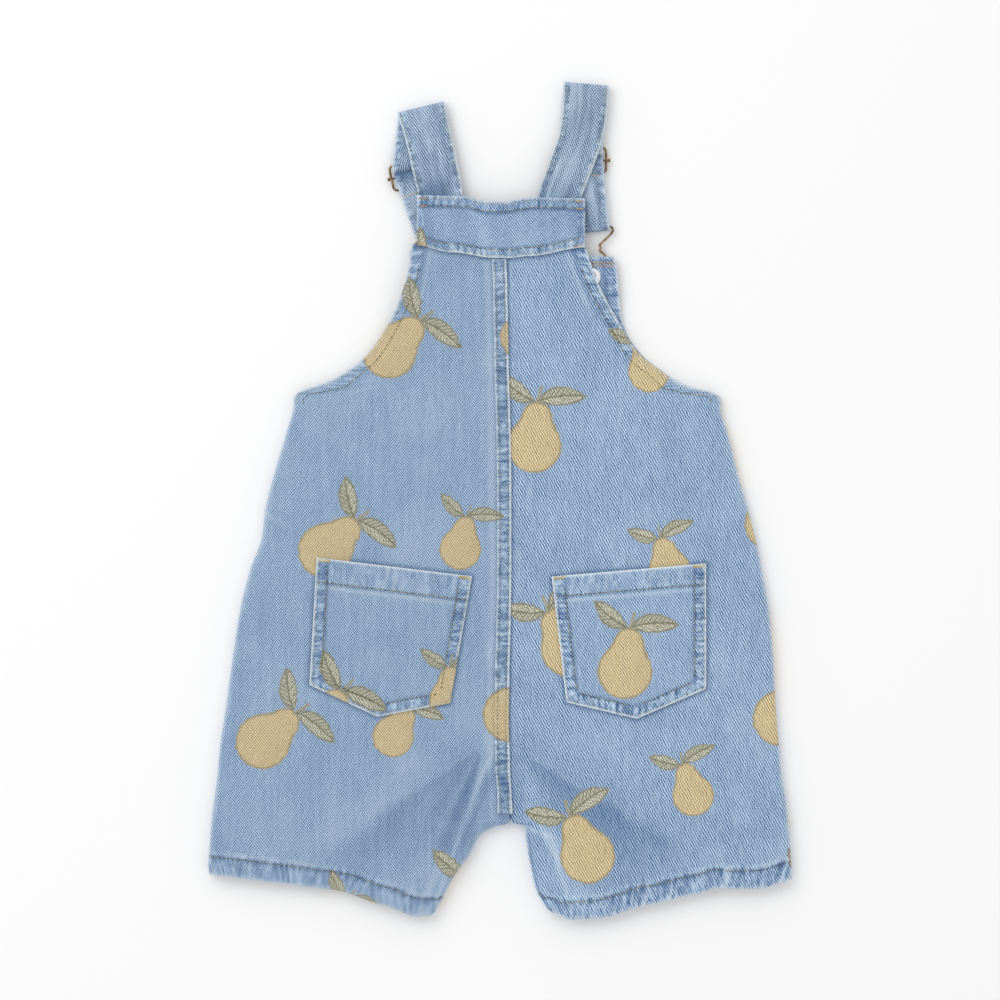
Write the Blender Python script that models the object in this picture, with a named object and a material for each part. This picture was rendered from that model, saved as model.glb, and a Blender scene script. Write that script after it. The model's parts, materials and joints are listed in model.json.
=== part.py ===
# Toddler's short denim overalls, laid flat with the front down and the back up.
# +Y runs from the hems to the straps, +X to the right as seen from above, and the
# surface that the garment lies on is z = 0. Sizes are in millimetres, and MM turns
# them into Blender's metres.

import math
from collections import namedtuple

import bmesh
import bpy
import numpy as np
from mathutils import Vector
from mathutils.bvhtree import BVHTree

MM = 0.001

# Cloth and gaps
CLOTH = 1.0
STRAP_CLOTH = 1.2
YOKE_CLOTH = 1.4
FELL_CLOTH = 1.0
SEAM_GAP = 0.3

# Height of the back layer's outer face above the surface, along the garment
Height = namedtuple("Height", "y top")
BACK_HEIGHTS = (
    Height(280, 8.8),
    Height(135, 8.8),
    Height(90, 8.0),
    Height(20, 7.8),
    Height(-130, 8.2),
    Height(-200, 9.0),
    Height(-235, 9.4),
    Height(-285, 9.0),
)

# How a layer ends: low is the share of its height that is left at the edge,
# run is how far in it reaches full height, and round is 1 for a rolled fold
Edge = namedtuple("Edge", "low run round")
FOLD = Edge(0.5, 4.4, 1.0)
CROTCH = Edge(0.5, 13.0, 1.0)
OPEN = Edge(0.52, 24.0, 0.0)
OPEN_RAISED = Edge(0.72, 22.0, 0.0)
LEVEL = Edge(1.0, 4.4, 0.0)

# One row across a panel, from the side (outer) to the centre seam or inner leg
Row = namedtuple("Row", "outer_x outer_y outer inner_x inner_y inner")
BACK_LEFT = (
    Row(-58.7, 170.3, LEVEL, 3.0, 178.0, LEVEL),
    Row(-60.8, 155.0, LEVEL, 3.2, 160.0, LEVEL),
    Row(-64.7, 140.0, LEVEL, 3.8, 141.0, LEVEL),
    Row(-73.0, 120.5, OPEN_RAISED, 4.2, 121.0, LEVEL),
    Row(-85.5, 100.5, OPEN, 4.6, 101.0, LEVEL),
    Row(-98.0, 89.0, OPEN, 4.8, 87.0, LEVEL),
    Row(-114.0, 79.5, OPEN, 5.2, 74.0, LEVEL),
    Row(-135.4, 71.4, OPEN, 5.6, 61.0, LEVEL),
    Row(-138.0, 60.0, FOLD, 6.0, 48.0, LEVEL),
    Row(-144.0, 40.0, FOLD, 6.3, 29.0, LEVEL),
    Row(-150.5, 18.0, FOLD, 6.5, 8.0, LEVEL),
    Row(-156.6, -6.0, FOLD, 6.6, -15.0, LEVEL),
    Row(-159.4, -27.0, FOLD, 6.6, -36.0, LEVEL),
    Row(-166.6, -46.0, FOLD, 6.5, -55.0, LEVEL),
    Row(-173.3, -73.0, FOLD, 6.0, -82.0, LEVEL),
    Row(-178.3, -104.0, FOLD, 5.2, -114.0, LEVEL),
    Row(-182.6, -136.0, FOLD, 4.8, -147.0, LEVEL),
    Row(-186.6, -163.0, FOLD, 5.3, -176.0, LEVEL),
    Row(-188.6, -184.0, FOLD, 6.8, -199.0, LEVEL),
    Row(-190.6, -199.0, FOLD, 6.8, -214.2, CROTCH),
    Row(-191.8, -208.0, FOLD, -3.0, -218.0, CROTCH),
    Row(-192.6, -216.0, FOLD, -13.6, -224.0, FOLD),
    Row(-193.4, -226.0, FOLD, -20.0, -236.5, FOLD),
    Row(-194.2, -235.0, FOLD, -28.6, -248.0, FOLD),
    Row(-194.6, -242.5, FOLD, -36.0, -261.5, FOLD),
    Row(-194.2, -249.3, FOLD, -42.5, -275.0, FOLD),
)
BACK_RIGHT = (
    Row(57.0, 168.0, LEVEL, 3.0, 178.0, LEVEL),
    Row(61.5, 154.5, LEVEL, 3.2, 160.0, LEVEL),
    Row(67.5, 140.0, LEVEL, 3.8, 141.0, LEVEL),
    Row(78.5, 120.0, OPEN_RAISED, 4.2, 121.0, LEVEL),
    Row(90.8, 99.8, OPEN, 4.6, 101.0, LEVEL),
    Row(106.0, 87.0, OPEN, 4.8, 87.0, LEVEL),
    Row(123.0, 76.8, OPEN, 5.2, 74.0, LEVEL),
    Row(145.0, 70.4, OPEN, 5.6, 61.0, LEVEL),
    Row(147.5, 58.0, FOLD, 6.0, 48.0, LEVEL),
    Row(153.3, 40.0, FOLD, 6.3, 29.0, LEVEL),
    Row(158.6, 18.0, FOLD, 6.5, 8.0, LEVEL),
    Row(165.3, -6.0, FOLD, 6.6, -15.0, LEVEL),
    Row(170.8, -27.0, FOLD, 6.6, -36.0, LEVEL),
    Row(174.6, -46.0, FOLD, 6.5, -55.0, LEVEL),
    Row(179.2, -73.0, FOLD, 6.0, -82.0, LEVEL),
    Row(182.4, -104.0, FOLD, 5.2, -114.0, LEVEL),
    Row(183.9, -136.0, FOLD, 4.8, -147.0, LEVEL),
    Row(186.2, -163.0, FOLD, 5.3, -176.0, LEVEL),
    Row(188.0, -184.0, FOLD, 6.8, -199.0, LEVEL),
    Row(190.6, -199.0, FOLD, 6.8, -214.2, CROTCH),
    Row(191.6, -208.0, FOLD, 16.0, -217.6, FOLD),
    Row(192.4, -216.0, FOLD, 17.2, -226.0, FOLD),
    Row(193.3, -226.0, FOLD, 18.8, -236.5, FOLD),
    Row(194.0, -236.0, FOLD, 21.0, -248.0, FOLD),
    Row(194.5, -245.0, FOLD, 24.2, -261.0, FOLD),
    Row(194.6, -253.0, FOLD, 31.0, -273.0, FOLD),
)

# The bib takes the place of the back's rows above the side seams' tops
FRONT_LEFT_BIB = (
    Row(-60.2, 166.5, LEVEL, 8.2, 163.0, LEVEL),
    Row(-60.2, 155.0, LEVEL, 8.4, 151.0, LEVEL),
    Row(-62.4, 140.0, LEVEL, 8.8, 137.0, LEVEL),
    Row(-69.6, 121.0, LEVEL, 9.2, 118.0, LEVEL),
    Row(-82.2, 101.6, LEVEL, 9.6, 101.0, LEVEL),
    Row(-95.4, 89.6, LEVEL, 9.8, 88.0, LEVEL),
    Row(-112.6, 79.3, LEVEL, 10.0, 75.0, LEVEL),
    Row(-135.0, 71.2, LEVEL, 10.2, 61.0, LEVEL),
)
FRONT_RIGHT_BIB = (
    Row(76.2, 162.4, LEVEL, 8.2, 163.0, LEVEL),
    Row(78.2, 151.0, LEVEL, 8.4, 151.0, LEVEL),
    Row(79.2, 137.0, LEVEL, 8.8, 137.0, LEVEL),
    Row(82.0, 118.0, LEVEL, 9.2, 118.0, LEVEL),
    Row(90.8, 101.4, LEVEL, 9.6, 101.0, LEVEL),
    Row(105.4, 88.0, LEVEL, 9.8, 88.0, LEVEL),
    Row(122.6, 77.4, LEVEL, 10.0, 75.0, LEVEL),
    Row(144.6, 70.1, LEVEL, 10.2, 61.0, LEVEL),
)
FRONT_CENTRE_X = 10.4

# The hems' waves in the photo: across is the share of the way from the side to
# the inner leg, drop is how far the edge leaves the straight line
Wave = namedtuple("Wave", "across drop")
HEM_WAVE_LEFT = (
    Wave(0.0, 0.0),
    Wave(0.2, 1.2),
    Wave(0.4, 2.8),
    Wave(0.57, 3.6),
    Wave(0.76, -0.6),
    Wave(0.9, -5.0),
    Wave(0.97, -3.0),
    Wave(1.0, 0.0),
)
HEM_WAVE_RIGHT = (
    Wave(0.0, 0.0),
    Wave(0.13, -3.4),
    Wave(0.23, -1.6),
    Wave(0.3, 0.8),
    Wave(0.39, -1.6),
    Wave(0.58, -4.8),
    Wave(0.78, -9.9),
    Wave(0.9, -8.8),
    Wave(0.97, -3.0),
    Wave(1.0, 0.0),
)
HEM_WAVE_FROM = 0.86

# The largest folds of the back layer: a ridge is above 0, a trough below
Fold = namedtuple("Fold", "x1 y1 x2 y2 rise half_width")
FOLDS = (
    Fold(18.0, -172.0, 104.0, -226.0, -1.9, 15.0),
    Fold(24.0, -190.0, 58.0, -262.0, 1.5, 9.0),
    Fold(-10.0, -166.0, -33.0, -258.0, 1.1, 6.0),
    Fold(-19.0, -172.0, -44.0, -228.0, -2.0, 8.0),
    Fold(-34.0, -184.0, -74.0, -246.0, 0.9, 8.0),
    Fold(-30.0, -172.0, -104.0, -250.0, -1.4, 11.0),
    Fold(-168.0, 6.0, -118.0, -14.0, 0.8, 12.0),
    Fold(116.0, -250.0, 138.0, -282.0, -1.2, 10.0),
    Fold(-112.0, -240.0, -104.0, -276.0, -1.6, 9.0),
)
FOLD_FADE = 14.0

# The back yoke, the felled centre seam and the pockets
YOKE_LEFT, YOKE_RIGHT = -55.3, 56.6
YOKE_TOP = ((0.0, 203.0), (0.27, 202.4), (0.42, 198.8), (0.5, 198.6), (0.7, 201.4), (1.0, 200.9))
YOKE_FOOT = ((0.0, 169.6), (0.2, 165.0), (0.47, 161.2), (0.55, 161.2), (0.67, 162.6), (1.0, 168.2))
FELL_WIDTH = 9.5
FELL_LAP = 1.0
FELL_TOP, FELL_END = 160.6, -209.0
FELL_ROWS = 36
POCKET_LEFT = ((-122.2, -38.3), (-18.6, -50.8), (-33.2, -135.4), (-81.9, -144.4), (-127.0, -123.2))
POCKET_RIGHT = ((34.4, -51.0), (137.4, -42.2), (137.4, -125.8), (91.2, -145.8), (44.3, -134.8))
POCKET_STEPS = 8

# Straps: the back part, then the front part down to the buckle
Strap = namedtuple("Strap", "x y z width tilt")
FOLD_RADIUS = 2.2
BACK_STRAP_LEFT = (
    Strap(-38.0, 190.0, 8.2, 28.6, 6.0),
    Strap(-39.4, 203.0, 8.2, 29.0, 10.0),
    Strap(-42.6, 218.4, 7.7, 30.4, 12.0),
    Strap(-46.8, 238.0, 6.6, 30.6, 12.0),
    Strap(-49.6, 250.0, 5.6, 31.4, 13.0),
)
TOP_FOLD_LEFT = Strap(-52.2, 259.8, 3.1, 32.6, 13.5)
BACK_STRAP_RIGHT = (
    Strap(36.8, 190.0, 8.2, 28.0, -14.0),
    Strap(39.6, 202.6, 8.2, 28.4, -18.0),
    Strap(44.6, 216.5, 7.9, 28.6, -20.0),
    Strap(51.8, 236.0, 7.2, 29.2, -17.0),
    Strap(55.2, 250.0, 6.5, 29.8, -9.0),
    Strap(56.8, 263.3, 5.7, 30.4, -5.0),
)
TOP_FOLD_RIGHT = Strap(57.4, 275.2, 3.1, 30.6, -5.0)
FRONT_WIDTH = 30.0
INNER_LAYER, OUTER_LAYER = 4.9, 1.5
LAYER_TURN = 1.7

# Sliders and hooks are wire, set between the strap's two layers
WIRE = 1.6
WIRE_ROUNDING = 0.24
WIRE_Z = 3.2
SLIDER_WIDTH, SLIDER_HEIGHT = 36.0, 18.0
SLIDER_KNOB = 1.5
Place = namedtuple("Place", "x y tilt")
SLIDER_LEFT = Place(-55.6, 218.0, 12.5)
SLIDER_RIGHT = Place(53.6, 226.8, 0.0)
HOOK_LEFT = Place(-41.4, 176.9, 20.0)
HOOK_RIGHT = Place(58.2, 180.8, 6.0)
HOOK_HALF = 17.0
HOOK_WAIST = 7.0
HOOK_WAIST_DOWN = 11.2
HOOK_RING = 11.3
HOOK_RING_DOWN = 24.0
BUTTON_DOWN = 32.0

# Bib buttons, each with the tack that holds it from the inside
BUTTON_RADIUS, BUTTON_HEAD = 7.5, 2.0
SHANK_RADIUS, SHANK_TOP = 2.2, 4.1
TACK_RADIUS, TACK_HEIGHT = 5.7, 1.0
BIB_LIFT = 4.4
BIB_LIFT_DOWN = 26.0
BIB_LIFT_FLAT, BIB_LIFT_REACH = 20.0, 56.0

# Grid of a panel, finer on the back, and how far round a point a seated piece looks
Grid = namedtuple("Grid", "rows middle_columns")
BACK_GRID = Grid(36, 12)
FRONT_GRID = Grid(36, 5)
ROUND_COLUMNS = (0.0, 0.13, 0.5, 1.0)
TOWARDS_SEAM = 0.32
SEAT_REACH = 5.0
SHARP = 50.0
RIM_BLEND = 1.5


def clear_scene():
    for item in list(bpy.data.objects):
        bpy.data.objects.remove(item)


def material(name, colour, roughness, metallic=0.0):
    made = bpy.data.materials.new(name)
    made.use_nodes = True
    shader = made.node_tree.nodes["Principled BSDF"]
    shader.inputs["Base Color"].default_value = (*colour, 1.0)
    shader.inputs["Roughness"].default_value = roughness
    shader.inputs["Metallic"].default_value = metallic
    return made


def add_object(name, data, finish, place=(0, 0, 0), turn=0.0):
    made = bpy.data.objects.new(name, data)
    bpy.context.scene.collection.objects.link(made)
    made.location = Vector(place) * MM
    made.rotation_euler[2] = math.radians(turn)
    data.materials.append(finish)
    return made


def between(table, at):
    """The second column at a place on the first, which may run up or down, eased."""
    pairs = sorted((row[0], row[1]) for row in table)
    if at <= pairs[0][0]:
        return pairs[0][1]
    for (a, low), (b, high) in zip(pairs, pairs[1:]):
        if at <= b:
            share = (at - a) / (b - a)
            share = share * share * (3 - 2 * share)
            return low + (high - low) * share
    return pairs[-1][1]


def table_place(points, at):
    """The row before a place from 0 to 1 along a table, and the share of the way past it."""
    place = min(max(at, 0.0), 1.0) * (len(points) - 1)
    k = min(int(place), len(points) - 2)
    return k, place - k


def straight(points, at):
    """The rows joined by straight lines, read at 0 to 1."""
    k, t = table_place(points, at)
    return [a + (b - a) * t for a, b in zip(points[k], points[k + 1])]


def spline(points, at):
    """A smooth curve through the points, each a tuple, read at 0 to 1."""
    k, t = table_place(points, at)
    p1, p2 = points[k], points[k + 1]
    p0 = points[k - 1] if k else [2 * a - b for a, b in zip(p1, p2)]
    p3 = points[k + 2] if k + 2 < len(points) else [2 * b - a for a, b in zip(p1, p2)]
    found = []
    for a, b, c, d in zip(p0, p1, p2, p3):
        slope_b, slope_c = (c - a) / 2, (d - b) / 2
        found.append(
            b
            + slope_b * t
            + (3 * (c - b) - 2 * slope_b - slope_c) * t * t
            + (2 * (b - c) + slope_b + slope_c) * t**3
        )
    return found


def fold_rise(x, y):
    """What the large folds add to the back layer's height at a place."""
    rise = 0.0
    for fold in FOLDS:
        start = Vector((fold.x1, fold.y1))
        run = Vector((fold.x2, fold.y2)) - start
        along = (Vector((x, y)) - start).dot(run) / run.length
        past = max(-along, along - run.length, 0.0)
        across = abs(run.x * (y - fold.y1) - run.y * (x - fold.x1)) / run.length
        fade = math.exp(-((past / FOLD_FADE) ** 2) * 2)
        rise += fold.rise * fade * math.exp(-((across / fold.half_width) ** 2))
    return rise


def edge_share(edge, distance):
    """The share of full height at a distance in from an edge."""
    low, run, rounded = edge
    left = 1.0 - min(max(distance / run, 0.0), 1.0)
    rise = (1 - rounded) * (1 - left * left) + rounded * math.sqrt(1 - left * left)
    return low + (1 - low) * rise


def hook_axis(hook, down):
    """The point that far below the hook's bar, along the strap."""
    turn = math.radians(hook.tilt)
    return Vector((hook.x + math.sin(turn) * down, hook.y - math.cos(turn) * down))


def bib_lift(x, y):
    """How far the bib is held up where it lies over its buttons and hooks."""
    lift = 0.0
    for hook in (HOOK_LEFT, HOOK_RIGHT):
        away = (Vector((x, y)) - hook_axis(hook, BIB_LIFT_DOWN)).length
        share = 1 - (away - BIB_LIFT_FLAT) / (BIB_LIFT_REACH - BIB_LIFT_FLAT)
        share = min(max(share, 0.0), 1.0)
        lift = max(lift, BIB_LIFT * share * share * (3 - 2 * share))
    return lift


def panel_columns(length, outer_run, inner_run, middle_columns):
    """Distances in from the outer edge: close together in both rounded edges."""
    first = [share * outer_run for share in ROUND_COLUMNS]
    last = [length - share * inner_run for share in reversed(ROUND_COLUMNS)]
    middle = []
    for k in range(1, middle_columns):
        share = k / middle_columns
        share = share + TOWARDS_SEAM * share * (1 - share)
        middle.append(first[-1] + (last[0] - first[-1]) * share)
    return first + middle + last


def centre_seam(rows):
    """The centre seam's line as pairs of y and x, from the top down to the crotch."""
    crotch = next(row for row in rows if row.inner is CROTCH)
    above = [row for row in rows if row.inner is LEVEL]
    return [(row.inner_y, row.inner_x) for row in above + [crotch]]


def even_places(rows, steps):
    """Places on the rows' spline, spread evenly along the panel's middle."""
    middles = [Vector((row.outer_x + row.inner_x, row.outer_y + row.inner_y)) / 2 for row in rows]
    lengths = [0.0]
    for a, b in zip(middles, middles[1:]):
        lengths.append(lengths[-1] + (b - a).length)
    places = []
    for k in range(steps + 1):
        target = lengths[-1] * k / steps
        past = next((j for j, length in enumerate(lengths) if length > target), len(lengths) - 1)
        share = (target - lengths[past - 1]) / (lengths[past] - lengths[past - 1])
        places.append((past - 1 + share) / (len(lengths) - 1))
    return places


def layer_z(x, y, share, back):
    """Height of a layer's outer face: the back above, or the front on the surface."""
    full = between(BACK_HEIGHTS, y)
    if back:
        inside = min(1.0, max(0.0, 2 * share - 1))
        return full * share + fold_rise(x, y) * inside + SEAM_GAP / 2
    edge = full * (1 - share) - SEAM_GAP / 2
    return max(0.0, edge) + bib_lift(x, y)


def grid_faces(mesh, lines):
    for low, high in zip(lines, lines[1:]):
        for k in range(len(low) - 1):
            mesh.faces.new((low[k], low[k + 1], high[k + 1], high[k]))


def wall(name, grid, thickness, finish, near=0.0, up=True, level_rims=None):
    """A closed wall of cloth on a grid of points.

    Its outer face looks up or down and stands out from the grid by the near share of the
    thickness. level_rims gives, for each row, how level each end's edge is cut.
    """
    points = np.array(grid)
    normals = np.cross(np.gradient(points, axis=1), np.gradient(points, axis=0))
    if (normals[len(grid) // 2, len(grid[0]) // 2, 2] > 0) != up:
        normals = -normals
    if level_rims is not None:
        normals[:, 0, 2] *= 1 - level_rims[:, 0]
        normals[:, -1, 2] *= 1 - level_rims[:, 1]
    normals /= np.linalg.norm(normals, axis=2, keepdims=True)
    mesh = bmesh.new()
    sides = []
    for level in (near, near - 1.0):
        moved = (points + normals * thickness * level) * MM
        sides.append([[mesh.verts.new(point) for point in line] for line in moved])
    outer, inner = sides
    grid_faces(mesh, outer)
    grid_faces(mesh, inner)
    grid_faces(mesh, (outer[0], inner[0]))
    grid_faces(mesh, (outer[-1], inner[-1]))
    for k in (0, -1):
        grid_faces(mesh, ([line[k] for line in outer], [line[k] for line in inner]))
    bmesh.ops.recalc_face_normals(mesh, faces=mesh.faces)
    data = bpy.data.meshes.new(name)
    mesh.to_mesh(data)
    mesh.free()
    data.shade_smooth()
    data.set_sharp_from_angle(angle=math.radians(SHARP))
    return add_object(name, data, finish)


def panel(name, rows, wave, back, finish):
    """One half of the back or front, as a wall with its outer face on the rows."""
    plan = [(row.outer_x, row.outer_y, row.inner_x, row.inner_y) for row in rows]
    seam = centre_seam(rows)
    size = BACK_GRID if back else FRONT_GRID
    grid, level_rims = [], []
    for at in even_places(rows, size.rows):
        values = spline(plan, at)
        outer, inner = Vector(values[:2]), Vector(values[2:])
        if inner.y > seam[-1][0]:
            inner.x = between(seam, inner.y)
        inner.x -= math.copysign(SEAM_GAP / 2, inner.x - outer.x)
        outer_edge = Edge(*straight([row.outer for row in rows], at))
        inner_edge = Edge(*straight([row.inner for row in rows], at))
        length = (inner - outer).length
        hem = max(0.0, (at - HEM_WAVE_FROM) / (1 - HEM_WAVE_FROM)) ** 2
        line = []
        for distance in panel_columns(length, outer_edge.run, inner_edge.run, size.middle_columns):
            x, y = outer.lerp(inner, distance / length)
            y += between(wave, distance / length) * hem
            share = edge_share(outer_edge, distance) * edge_share(inner_edge, length - distance)
            line.append((x, y, layer_z(x, y, share, back)))
        grid.append(line)
        level_rims.append((outer_edge.round, inner_edge.round))
    level_rims = np.clip(np.array(level_rims) * RIM_BLEND, 0, 1)
    return wall(name, grid, CLOTH, finish, up=back, level_rims=level_rims)


def front_rows(bib, back_rows):
    """The bib's rows, then the back's own rows with the front's centre seam."""
    below = []
    for row in back_rows[len(bib):]:
        seam = row.inner is LEVEL
        below.append(row._replace(inner_x=FRONT_CENTRE_X) if seam else row)
    return bib + tuple(below)


def seat_tree(panels):
    """The outer faces of the back panels, for what lies on them."""
    faces = bmesh.new()
    for item in panels:
        faces.from_mesh(item.data)
    tree = BVHTree.FromBMesh(faces)
    faces.free()
    return tree


def seat_height(tree, x, y):
    """The highest of the panels' outer faces at a place and close round it."""
    found = []
    for k in range(9):
        angle = math.tau * k / 8
        reach = SEAT_REACH if k else 0.0
        start = Vector((x + reach * math.cos(angle), y + reach * math.sin(angle), 50.0)) * MM
        hit = tree.ray_cast(start, Vector((0, 0, -1)))[0]
        if hit:
            found.append(hit.z / MM)
    return max(found, default=between(BACK_HEIGHTS, y) + SEAM_GAP / 2)


def on_back(name, tree, plan, thickness, finish):
    """A piece that lies on the back: its plan points, moved out from the panels."""
    grid = [[(x, y, seat_height(tree, x, y) + SEAM_GAP) for x, y in line] for line in plan]
    return wall(name, grid, thickness, finish, near=1.0)


def yoke(tree, finish):
    plan = []
    for k in range(5):
        line = []
        for j in range(17):
            across = j / 16
            top, foot = between(YOKE_TOP, across), between(YOKE_FOOT, across)
            line.append((YOKE_LEFT + (YOKE_RIGHT - YOKE_LEFT) * across, top + (foot - top) * k / 4))
        plan.append(line)
    return on_back("back_yoke", tree, plan, YOKE_CLOTH, finish)


def back_seam(tree, finish):
    seam = centre_seam(BACK_LEFT)
    plan = []
    for k in range(FELL_ROWS + 1):
        y = FELL_TOP + (FELL_END - FELL_TOP) * k / FELL_ROWS
        edge = between(seam, y) + FELL_LAP
        plan.append([(edge - FELL_WIDTH * share, y) for share in (0.0, 0.5, 1.0)])
    return on_back("back_centre_seam", tree, plan, FELL_CLOTH, finish)


def pocket(name, tree, corners, finish):
    """A five-sided patch: its top edge, and a foot edge that comes to a point."""
    top_left, top_right, low_right, point, low_left = (Vector(c) for c in corners)
    plan = []
    for k in range(POCKET_STEPS + 1):
        line = []
        for j in range(POCKET_STEPS + 1):
            across = j / POCKET_STEPS
            top = top_left.lerp(top_right, across)
            half = across * 2
            foot = low_left.lerp(point, half) if half <= 1 else point.lerp(low_right, half - 1)
            line.append(tuple(top.lerp(foot, k / POCKET_STEPS)))
        plan.append(line)
    return on_back(name, tree, plan, CLOTH, finish)


def half_turn(strap, radius, start, end, steps):
    """Rows of a strap that turns over, about a line across it."""
    rows = []
    turn = math.radians(strap.tilt)
    for k in range(steps + 1):
        angle = math.radians(start + (end - start) * k / steps)
        ahead = radius * math.cos(angle)
        rows.append(
            Strap(
                strap.x - math.sin(turn) * ahead,
                strap.y + math.cos(turn) * ahead,
                strap.z + radius * math.sin(angle),
                strap.width,
                strap.tilt,
            )
        )
    return rows


def eased(a, b, steps):
    """Rows from a to b, with the height eased in and out."""
    rows = []
    for k in range(1, steps):
        share = k / steps
        ease = share * share * (3 - 2 * share)
        row = [p + (q - p) * share for p, q in zip(a, b)]
        row[2] = a.z + (b.z - a.z) * ease
        rows.append(Strap(*row))
    return rows


def strap_rows(back, fold, slider, hook):
    """The whole strap: yoke, over the shoulder, through the slider, round the hook."""
    smooth = [Strap(*spline(back, k / 12)) for k in range(13)]
    top = half_turn(fold, FOLD_RADIUS, 90, -90, 8)
    bar_step = (SLIDER_HEIGHT - WIRE) / 2
    turn = math.radians(slider.tilt)
    up = Vector((-math.sin(turn), math.cos(turn)))

    def on_slider(along, z):
        spot = Vector((slider.x, slider.y)) + up * along
        return Strap(spot.x, spot.y, z, FRONT_WIDTH, slider.tilt)

    over = on_slider(bar_step, INNER_LAYER)
    under = on_slider(0.0, OUTER_LAYER)
    bar = Strap(hook.x, hook.y, WIRE_Z, FRONT_WIDTH, hook.tilt)
    bottom = half_turn(bar, LAYER_TURN, -90, -270, 8)
    end = on_slider(-0.2, INNER_LAYER)
    down = eased(top[-1], over, 7) + [over] + eased(over, under, 6) + [under]
    down += eased(under, bottom[0], 5)
    back_up = eased(bottom[-1], end, 5) + [end]
    return smooth + top + down + bottom + back_up


def strap(name, rows, finish):
    grid = []
    for row in rows:
        turn = math.radians(row.tilt)
        side = Vector((math.cos(turn), math.sin(turn), 0)) * row.width
        middle = Vector((row.x, row.y, row.z))
        grid.append([middle + side * share for share in (-0.5, 0.0, 0.5)])
    return wall(name, grid, STRAP_CLOTH, finish, near=0.5)


def slider(name, place, finish):
    """A wire frame with a centre bar whose ends stand out as knobs."""
    half, wire = SLIDER_WIDTH / 2, WIRE
    xs = (-half - SLIDER_KNOB, -half, -half + wire, half - wire, half, half + SLIDER_KNOB)
    top = SLIDER_HEIGHT / 2
    ys = (-top, -top + wire, -wire / 2, wire / 2, top - wire, top)
    mesh = bmesh.new()
    points = {}
    for i in range(5):
        for j in range(5):
            knob = i in (0, 4)
            window = i == 2 and j in (1, 3)
            if window or (knob and j != 2):
                continue
            corner = []
            for a, b in ((i, j), (i + 1, j), (i + 1, j + 1), (i, j + 1)):
                if (a, b) not in points:
                    points[a, b] = mesh.verts.new((xs[a] * MM, ys[b] * MM, 0))
                corner.append(points[a, b])
            mesh.faces.new(corner)
    data = bpy.data.meshes.new(name)
    mesh.to_mesh(data)
    mesh.free()
    made = add_object(name, data, finish, (place.x, place.y, WIRE_Z), place.tilt)
    thickness = made.modifiers.new("thickness", "SOLIDIFY")
    thickness.thickness = wire * MM
    thickness.offset = 0.0
    rounding = made.modifiers.new("rounding", "BEVEL")
    rounding.width = wire * WIRE_ROUNDING * MM
    rounding.segments = 1
    rounding.limit_method = "ANGLE"
    return made


def hook_outline():
    """The hook's wire in its own plane: the bar, the waist and the button's ring."""
    corner = 2.0
    side = [(HOOK_HALF - corner, 0.0), (HOOK_HALF - 0.5, -0.5), (HOOK_HALF, -corner)]
    side += [(HOOK_HALF - 1.2, -4.4), (HOOK_WAIST + 1.6, -HOOK_WAIST_DOWN + 1.2)]
    side += [(HOOK_WAIST, -HOOK_WAIST_DOWN), (HOOK_WAIST + 0.6, -HOOK_WAIST_DOWN - 1.4)]
    start = 52.0
    for k in range(9):
        angle = math.radians(start - (start + 90) * k / 8)
        side.append((HOOK_RING * math.cos(angle), HOOK_RING * math.sin(angle) - HOOK_RING_DOWN))
    mirrored = [(-x, y) for x, y in reversed(side[:-1])]
    return side + mirrored


def hook(name, place, finish):
    curve = bpy.data.curves.new(name, "CURVE")
    curve.dimensions = "3D"
    outline = hook_outline()
    line = curve.splines.new("POLY")
    line.points.add(len(outline) - 1)
    for point, (x, y) in zip(line.points, outline):
        point.co = (x * MM, y * MM, 0, 1)
    line.use_cyclic_u = True
    curve.bevel_depth = WIRE / 2 * MM
    curve.bevel_resolution = 2
    return add_object(name, curve, finish, (place.x, place.y, WIRE_Z), place.tilt)


def turned(name, profile, place, finish, steps=20):
    """A solid turned about its upright axis from a radius and height profile."""
    mesh = bmesh.new()
    points = [mesh.verts.new((radius * MM, 0, z * MM)) for radius, z in profile]
    edges = [mesh.edges.new(pair) for pair in zip(points, points[1:])]
    bmesh.ops.spin(
        mesh,
        geom=points + edges,
        cent=(0, 0, 0),
        axis=(0, 0, 1),
        angle=math.tau,
        steps=steps,
        use_merge=True,
    )
    bmesh.ops.remove_doubles(mesh, verts=mesh.verts, dist=0.00001)
    bmesh.ops.recalc_face_normals(mesh, faces=mesh.faces)
    data = bpy.data.meshes.new(name)
    mesh.to_mesh(data)
    mesh.free()
    return add_object(name, data, finish, (place.x, place.y, 0))


def button(side, place, brass, nickel):
    edge = 0.4
    head = [(0, 0), (BUTTON_RADIUS - edge, 0), (BUTTON_RADIUS, edge), (BUTTON_RADIUS, BUTTON_HEAD - edge)]
    head += [(BUTTON_RADIUS - edge, BUTTON_HEAD), (SHANK_RADIUS, BUTTON_HEAD), (SHANK_RADIUS, SHANK_TOP)]
    turned("button_" + side, head + [(0, SHANK_TOP)], place, brass)
    low = BIB_LIFT + CLOTH + SEAM_GAP
    tack = [(0, low), (TACK_RADIUS, low), (TACK_RADIUS, low + TACK_HEIGHT - edge)]
    tack += [(TACK_RADIUS - edge, low + TACK_HEIGHT), (0, low + TACK_HEIGHT)]
    turned("button_tack_" + side, tack, place, nickel)


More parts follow.
